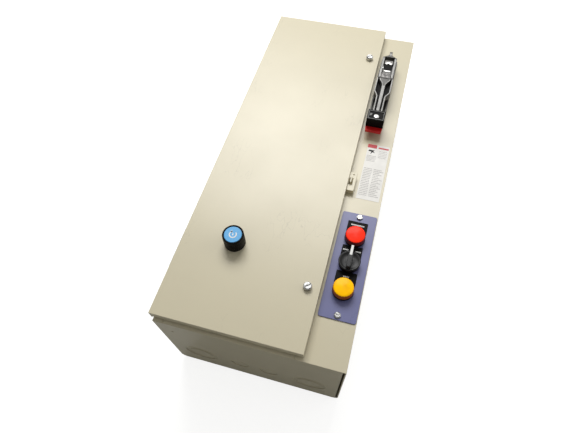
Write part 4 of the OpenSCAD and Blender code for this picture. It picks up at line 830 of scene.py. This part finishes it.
# ------------------------------------------------------------------ handle
PROUD = 0.25         # how far the painted highlight strips stand out of the castings
RAIL_Y, STEM_Y, BODY_Y, TONGUE_Y = -204.0, -203.0, -200.0, -192.0
DRUM_Y, LEVER_Y, WEB_Y = -198.0, -199.0, -195.0
RAIL_PATH = [(12.6, 38), (12.7, 68), (11.8, 71), (8.6, 77), (6.8, 81), (6.5, 119)]
FUNNEL_PATH = [(9.3, 34.6), (7.8, 40.4), (3.2, 47.6), (2.0, 53), (1.8, 119)]
TONGUE_OUTLINE = [(-1.6, 30), (1.6, 30), (1.6, 43), (-1.6, 43)]
POCKET_OUTLINE = [
    (11.3, 37), (11.3, 69), (6.0, 74), (5.4, 124), (2.8, 124),
    (2.6, 54), (4.2, 47.5), (8.6, 40.5), (10.6, 37),
]
GRIP_MARK_OUTLINE = [(-10.8, 8), (-7.6, 9.4), (-6.4, 13.4), (-9.8, 14)]


def strip(shapes, path, width, front):
    """A thin strip of even width along a path of (x, z) points."""
    sides = [[], []]
    for i, (px, pz) in enumerate(path):
        before, after = path[max(i - 1, 0)], path[min(i + 1, len(path) - 1)]
        along = Vector((after[0] - before[0], after[1] - before[1])).normalized()
        for side, way in zip(sides, (1, -1)):
            side.append((px - way * along.y * width / 2, pz + way * along.x * width / 2))
    shapes.shape(sides[0] + sides[1][::-1], front, front + 3 * PROUD)


def below(x, pivot_z, side, path):
    """Points given as (out from the middle, down from the pivot), on one side of the handle."""
    return [(x + side * out, pivot_z - down) for out, down in path]


def lever_highlights(x, pivot_z):
    """Painted highlights: light grey strips along the lever's rails, funnel and stem, and on the fixed frame
    and tongue, standing for the light along their edges.
    """
    rails, body = Outline(), Outline()
    for side in (-1, 1):
        strip(rails, below(x, pivot_z, side, RAIL_PATH), 1.5, RAIL_Y - PROUD)
        strip(rails, below(x, pivot_z, side, FUNNEL_PATH), 0.9, STEM_Y - PROUD)
        edge = x + side * 10.5
        body.bar(edge - 1.5, edge + 1.5, pivot_z - 29, pivot_z + 19.8, BODY_Y - PROUD, BODY_Y + PROUD)
    rails.bar(x - 1.4, x + 1.4, pivot_z - 119, pivot_z - 54, STEM_Y - PROUD / 2, STEM_Y + PROUD)
    body.around(x, pivot_z, TONGUE_OUTLINE, TONGUE_Y - PROUD, TONGUE_Y + PROUD)
    # painted highlights, on the lever and on the fixed body
    rails.make("lever_painted_highlights", FINISHES["painted_highlight_casting"], "grey_casting", "handle", corner=0.1)
    body.make("body_painted_highlights", FINISHES["painted_highlight_casting"], "dark_casting", "root", corner=0.1)


def drum_marks(x, pivot_z):
    """The drum's black square between two bright crescents, which are painted highlights of its rounded face,
    and the printed fields above and below it.
    """
    square = Outline()
    square.bar(x - 7.6, x + 7.6, pivot_z - 10.4, pivot_z + 4.4, DRUM_Y - 1.4, DRUM_Y + 6)
    square.make("drum_black_square", FINISHES["black_print"], "black_plastic", "handle", corner=0.5)
    # painted highlights: polished crescents above and below the square stand for the shine of the rounded
    # drum
    crescents = Outline()
    upper = arc(x, pivot_z + 4.6, 6.2, 8, 172, 16)
    lower = arc(x, pivot_z + 4.6, 2.4, 172, 8, 16)
    crescents.shape(upper + lower, DRUM_Y - 1.2, DRUM_Y + 5)
    hanging = [(px, pivot_z - 11.0 - (pz - pivot_z) * 0.55) for px, pz in arc(x, pivot_z, 6.6, 8, 172, 16)]
    straight = [(x - 6.8, pivot_z - 10.8), (x + 6.8, pivot_z - 10.8)]
    crescents.shape(straight + hanging, DRUM_Y - 1.2, DRUM_Y + 5)
    crescents.make("drum_painted_highlights", FINISHES["bright_rim"], "bright_zinc", "handle", corner=0.3)
    above = Outline()
    above.bar(x - 7.1, x + 7.1, pivot_z + 8.5, pivot_z + 17, DRUM_Y + 1, DRUM_Y + 5)
    above.make("drum_upper_field", FINISHES["printed_field"], "grey_casting", "handle", corner=0.3)
    under = Outline()
    under.bar(x - 7.6, x + 7.6, pivot_z - 33, pivot_z - 17.5, LEVER_Y - 0.4, LEVER_Y + 2)
    under.make("lever_printed_field", FINISHES["printed_field"], "grey_casting", "handle", corner=0.3)


def grip_marks(x, front, low_z):
    """The thin grey line round the grip's end, its rivet and a small grey mark beside it."""
    line = Outline()
    line.frame(x - 12.4, x + 12.4, low_z + 1.2, low_z + 19.2, 0.8, front - 0.05, front + 0.6)
    line.make("grip_frame_line", FINISHES["grey_line_finish"], "grey_casting", "handle")
    rivet = [(4.4, front + 2.4), (4.5, front + 0.9), (4.0, front + 0.3), (2.2, front + 0.02)]
    turned(
        "grip_rivet", x + 0.6, low_z + 8.4, rivet, FINISHES["bright_rim"], "handle", steps=48,
    )
    mark = Outline()
    mark.around(x, low_z, GRIP_MARK_OUTLINE, front + 0.9, front + 1.4)
    mark.make("grip_mark", FINISHES["grey_line_finish"], "grey_casting", "handle")


def handle_fittings():
    """Marks and painted highlights on the drum, painted shade on the lever's pocket floors, painted highlight
    strips on the lever, and marks on the grip.
    """
    low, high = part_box("handle_grip")
    x = (low.x + high.x) / 2 / MM
    pivot_z = centre("handle_pivot_pin")[1]
    drum_marks(x, pivot_z)
    # painted shade: a black sheet on the web floor of each pocket between the rails and the stem, where shade
    # falls
    pockets = Outline()
    for side in (-1, 1):
        pockets.shape(below(x, pivot_z, side, POCKET_OUTLINE), WEB_Y - 0.5, WEB_Y + 0.5)
    pockets.make("lever_pocket_shade", FINISHES["black_plastic"], "grey_casting", "handle")
    lever_highlights(x, pivot_z)
    grip_marks(x, low.y / MM, low.z / MM)


handle_fittings()


# ------------------------------------------------------------------ inside the box
PLATE_PROUD, LINES_PROUD, SUNK = 0.5, 0.62, 0.2
VENT_STEP, VENT_HALF, VENT_RIBS = 3.2, 0.7, 4
STRIP_MARGIN, STRIP_EDGE = 3, 11.6


def device_front(name, node, inset_x, z0, z1):
    """A flat plate on the front of a device, from z0 to z1 as shares of its height."""
    low, high = (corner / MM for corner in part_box(node))
    height = high.z - low.z
    plate = Outline()
    plate.bar(
        low.x + inset_x, high.x - inset_x, low.z + z0 * height, low.z + z1 * height,
        low.y - PLATE_PROUD, low.y + SUNK,
    )
    plate.make(name, FINISHES["label"], "label", "root", corner=0.3)


def device_print(name, node, inset_x, z0, z1, rows):
    """Rows of print on such a plate."""
    low, high = (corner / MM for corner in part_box(node))
    height = high.z - low.z
    lines = Outline()
    for row in range(rows):
        z = low.z + height * (z0 + (z1 - z0) * (row + 0.5) / rows)
        printed_row(lines, low.x + inset_x, high.x - inset_x, z, 1.0, 0.6, low.y - LINES_PROUD, row + 3)
    lines.make(name, FINISHES["grey_print"], "label", "root")


def vent_ribs():
    """Short ribs above and below each pole of the breaker's cover, but for the lower left one."""
    ribs = Outline()
    low, high = (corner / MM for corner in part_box("breaker_cover"))
    z_mid = (low.z + high.z) / 2
    for side in (-1, 1):
        for pole in (-1, 0, 1) if side > 0 else (0, 1):      # the trip dial fills the lower left
            middle = (low.x + high.x) / 2 + pole * (high.x - low.x) / 3
            for step in range(VENT_RIBS):
                z = z_mid + side * (40 + VENT_STEP * step)
                ribs.bar(middle - 10, middle + 10, z - VENT_HALF, z + VENT_HALF, low.y - 0.6, low.y + 0.3)
    ribs.make("breaker_vent_ribs", FINISHES["breaker_plastic"], "breaker_plastic", "root", corner=0.2)


def interior_fittings():
    """Plates, print, vent ribs and the marker strip on the devices inside the box."""
    device_front("breaker_rating_plate", "breaker_cover", 8, 0.78, 0.88)
    device_print("breaker_plate_lines", "breaker_cover", 12, 0.795, 0.865, 3)
    device_front("breaker_lower_plate", "breaker_cover", 40, 0.115, 0.19)
    device_front("contactor_plate", "contactor_cover", 12, 0.66, 0.76)
    device_print("contactor_plate_lines", "contactor_cover", 16, 0.67, 0.75, 2)
    device_front("overload_plate", "overload_body", 22, 0.78, 0.92)
    device_print("overload_plate_lines", "overload_body", 26, 0.80, 0.90, 2)
    vent_ribs()
    low, high = (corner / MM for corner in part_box("terminal_block"))
    marks = Outline()
    marks.bar(
        low.x + STRIP_MARGIN, high.x - STRIP_MARGIN, low.z + STRIP_EDGE, high.z - STRIP_EDGE,
        low.y - 0.4, low.y + SUNK,
    )
    marks.make("terminal_marker_strip", FINISHES["label"], "label", "root")
    low, high = (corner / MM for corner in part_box("transformer_core"))
    middle = (low.x + high.x) / 2
    plate = Outline()
    plate.bar(middle - 16, middle + 16, high.z - 9.0, high.z - 2.5, low.y - 0.4, low.y + SUNK)
    plate.make("transformer_plate", FINISHES["label"], "label", "root", corner=0.15)


interior_fittings()


# ------------------------------------------------------------------ stage, light and camera
WALL_Y, FLOOR_Z, BEND_R, BEND_STEPS, REACH = 0.002, -1.25, 0.5, 12, 6.0


def build_backdrop():
    """A pale sweep: a wall just behind the box that curves down into a floor. Seen only from its front."""
    profile = [(WALL_Y, REACH), (WALL_Y, FLOOR_Z + BEND_R)]
    for step in range(1, BEND_STEPS + 1):
        angle = step / BEND_STEPS * math.pi / 2
        profile.append((WALL_Y - BEND_R * (1 - math.cos(angle)), FLOOR_Z + BEND_R * (1 - math.sin(angle))))
    profile.append((-REACH, FLOOR_Z))
    points, faces = [], []
    for y, z in profile:
        points += [(-REACH, y, z), (REACH, y, z)]
    for row in range(len(profile) - 1):
        low = 2 * row
        faces.append((low, low + 1, low + 3, low + 2))
    mesh = bpy.data.meshes.new("pale_backdrop")
    mesh.from_pydata(points, [], faces)
    for polygon in mesh.polygons:
        polygon.use_smooth = True
    if mesh.polygons[0].normal.y > 0:
        mesh.flip_normals()
    backdrop = bpy.data.objects.new("pale_backdrop", mesh)
    bpy.context.scene.collection.objects.link(backdrop)
    finish, tree, shader = start_finish("pale_backdrop")
    feed(tree, shader, Base_Color=(0.42, 0.42, 0.41, 1), Roughness=0.9)
    seen = add_node(tree, "ShaderNodeEmission", {"Color": (1, 1, 1, 1), "Strength": 0.82})
    lifted = add_node(tree, "ShaderNodeAddShader", {0: shader.outputs["BSDF"], 1: seen.outputs["Emission"]})
    to_camera = add_node(tree, "ShaderNodeLightPath").outputs["Is Camera Ray"]
    front = add_node(
        tree, "ShaderNodeMixShader",
        {0: to_camera, 1: shader.outputs["BSDF"], 2: lifted.outputs["Shader"]},
    )
    clear = add_node(tree, "ShaderNodeBsdfTransparent")
    behind = add_node(tree, "ShaderNodeNewGeometry").outputs["Backfacing"]
    both = add_node(
        tree, "ShaderNodeMixShader",
        {0: behind, 1: front.outputs["Shader"], 2: clear.outputs["BSDF"]},
    )
    tree.links.new(both.outputs["Shader"], tree.nodes["Material Output"].inputs["Surface"])
    mesh.materials.append(finish)


def area_light(name, place_at, aim_at, width, height, power):
    """A rectangular lamp that faces a point."""
    data = bpy.data.lights.new(name, "AREA")
    data.shape = "RECTANGLE"
    data.size, data.size_y, data.energy = width, height, power
    lamp = bpy.data.objects.new(name, data)
    bpy.context.scene.collection.objects.link(lamp)
    lamp.location = place_at
    lamp.rotation_euler = (Vector(aim_at) - Vector(place_at)).to_track_quat("-Z", "Y").to_euler()


def build_light():
    """An even sky that mirrors a little brighter, a large panel above and a weak one at the right."""
    world = bpy.data.worlds.new("studio_air")
    world.use_nodes = True
    air = world.node_tree
    sky = air.nodes["Background"]
    sky.inputs["Color"].default_value = (1, 1, 1, 1)
    mirrored = add_node(air, "ShaderNodeLightPath").outputs["Is Glossy Ray"]
    strength = add_node(air, "ShaderNodeMapRange", {"Value": mirrored, "To Min": 0.34, "To Max": 0.75})
    air.links.new(strength.outputs["Result"], sky.inputs["Strength"])
    bpy.context.scene.world = world
    middle = (0, -0.15, 0)
    area_light("ceiling_panel", (-0.35, -1.7, 1.15), middle, width=1.3, height=0.9, power=31)
    area_light("side_panel", (1.6, -1.1, 0.5), middle, width=1.0, height=1.4, power=4)


def build_camera():
    """A near camera below the box that looks up at it from its right."""
    data = bpy.data.cameras.new("main_camera")
    data.lens, data.sensor_width = 28.18, 36
    data.clip_start, data.clip_end = 0.01, 50
    data.shift_y = -0.0016
    camera = bpy.data.objects.new("main_camera", data)
    bpy.context.scene.collection.objects.link(camera)
    camera.location = (0.110, -0.752, -0.446)
    camera.rotation_euler = tuple(math.radians(turn) for turn in (120.70, -15.47, 1.76))
    bpy.context.scene.camera = camera
    bpy.context.scene.view_settings.view_transform = "Standard"


build_backdrop()
build_light()
build_camera()
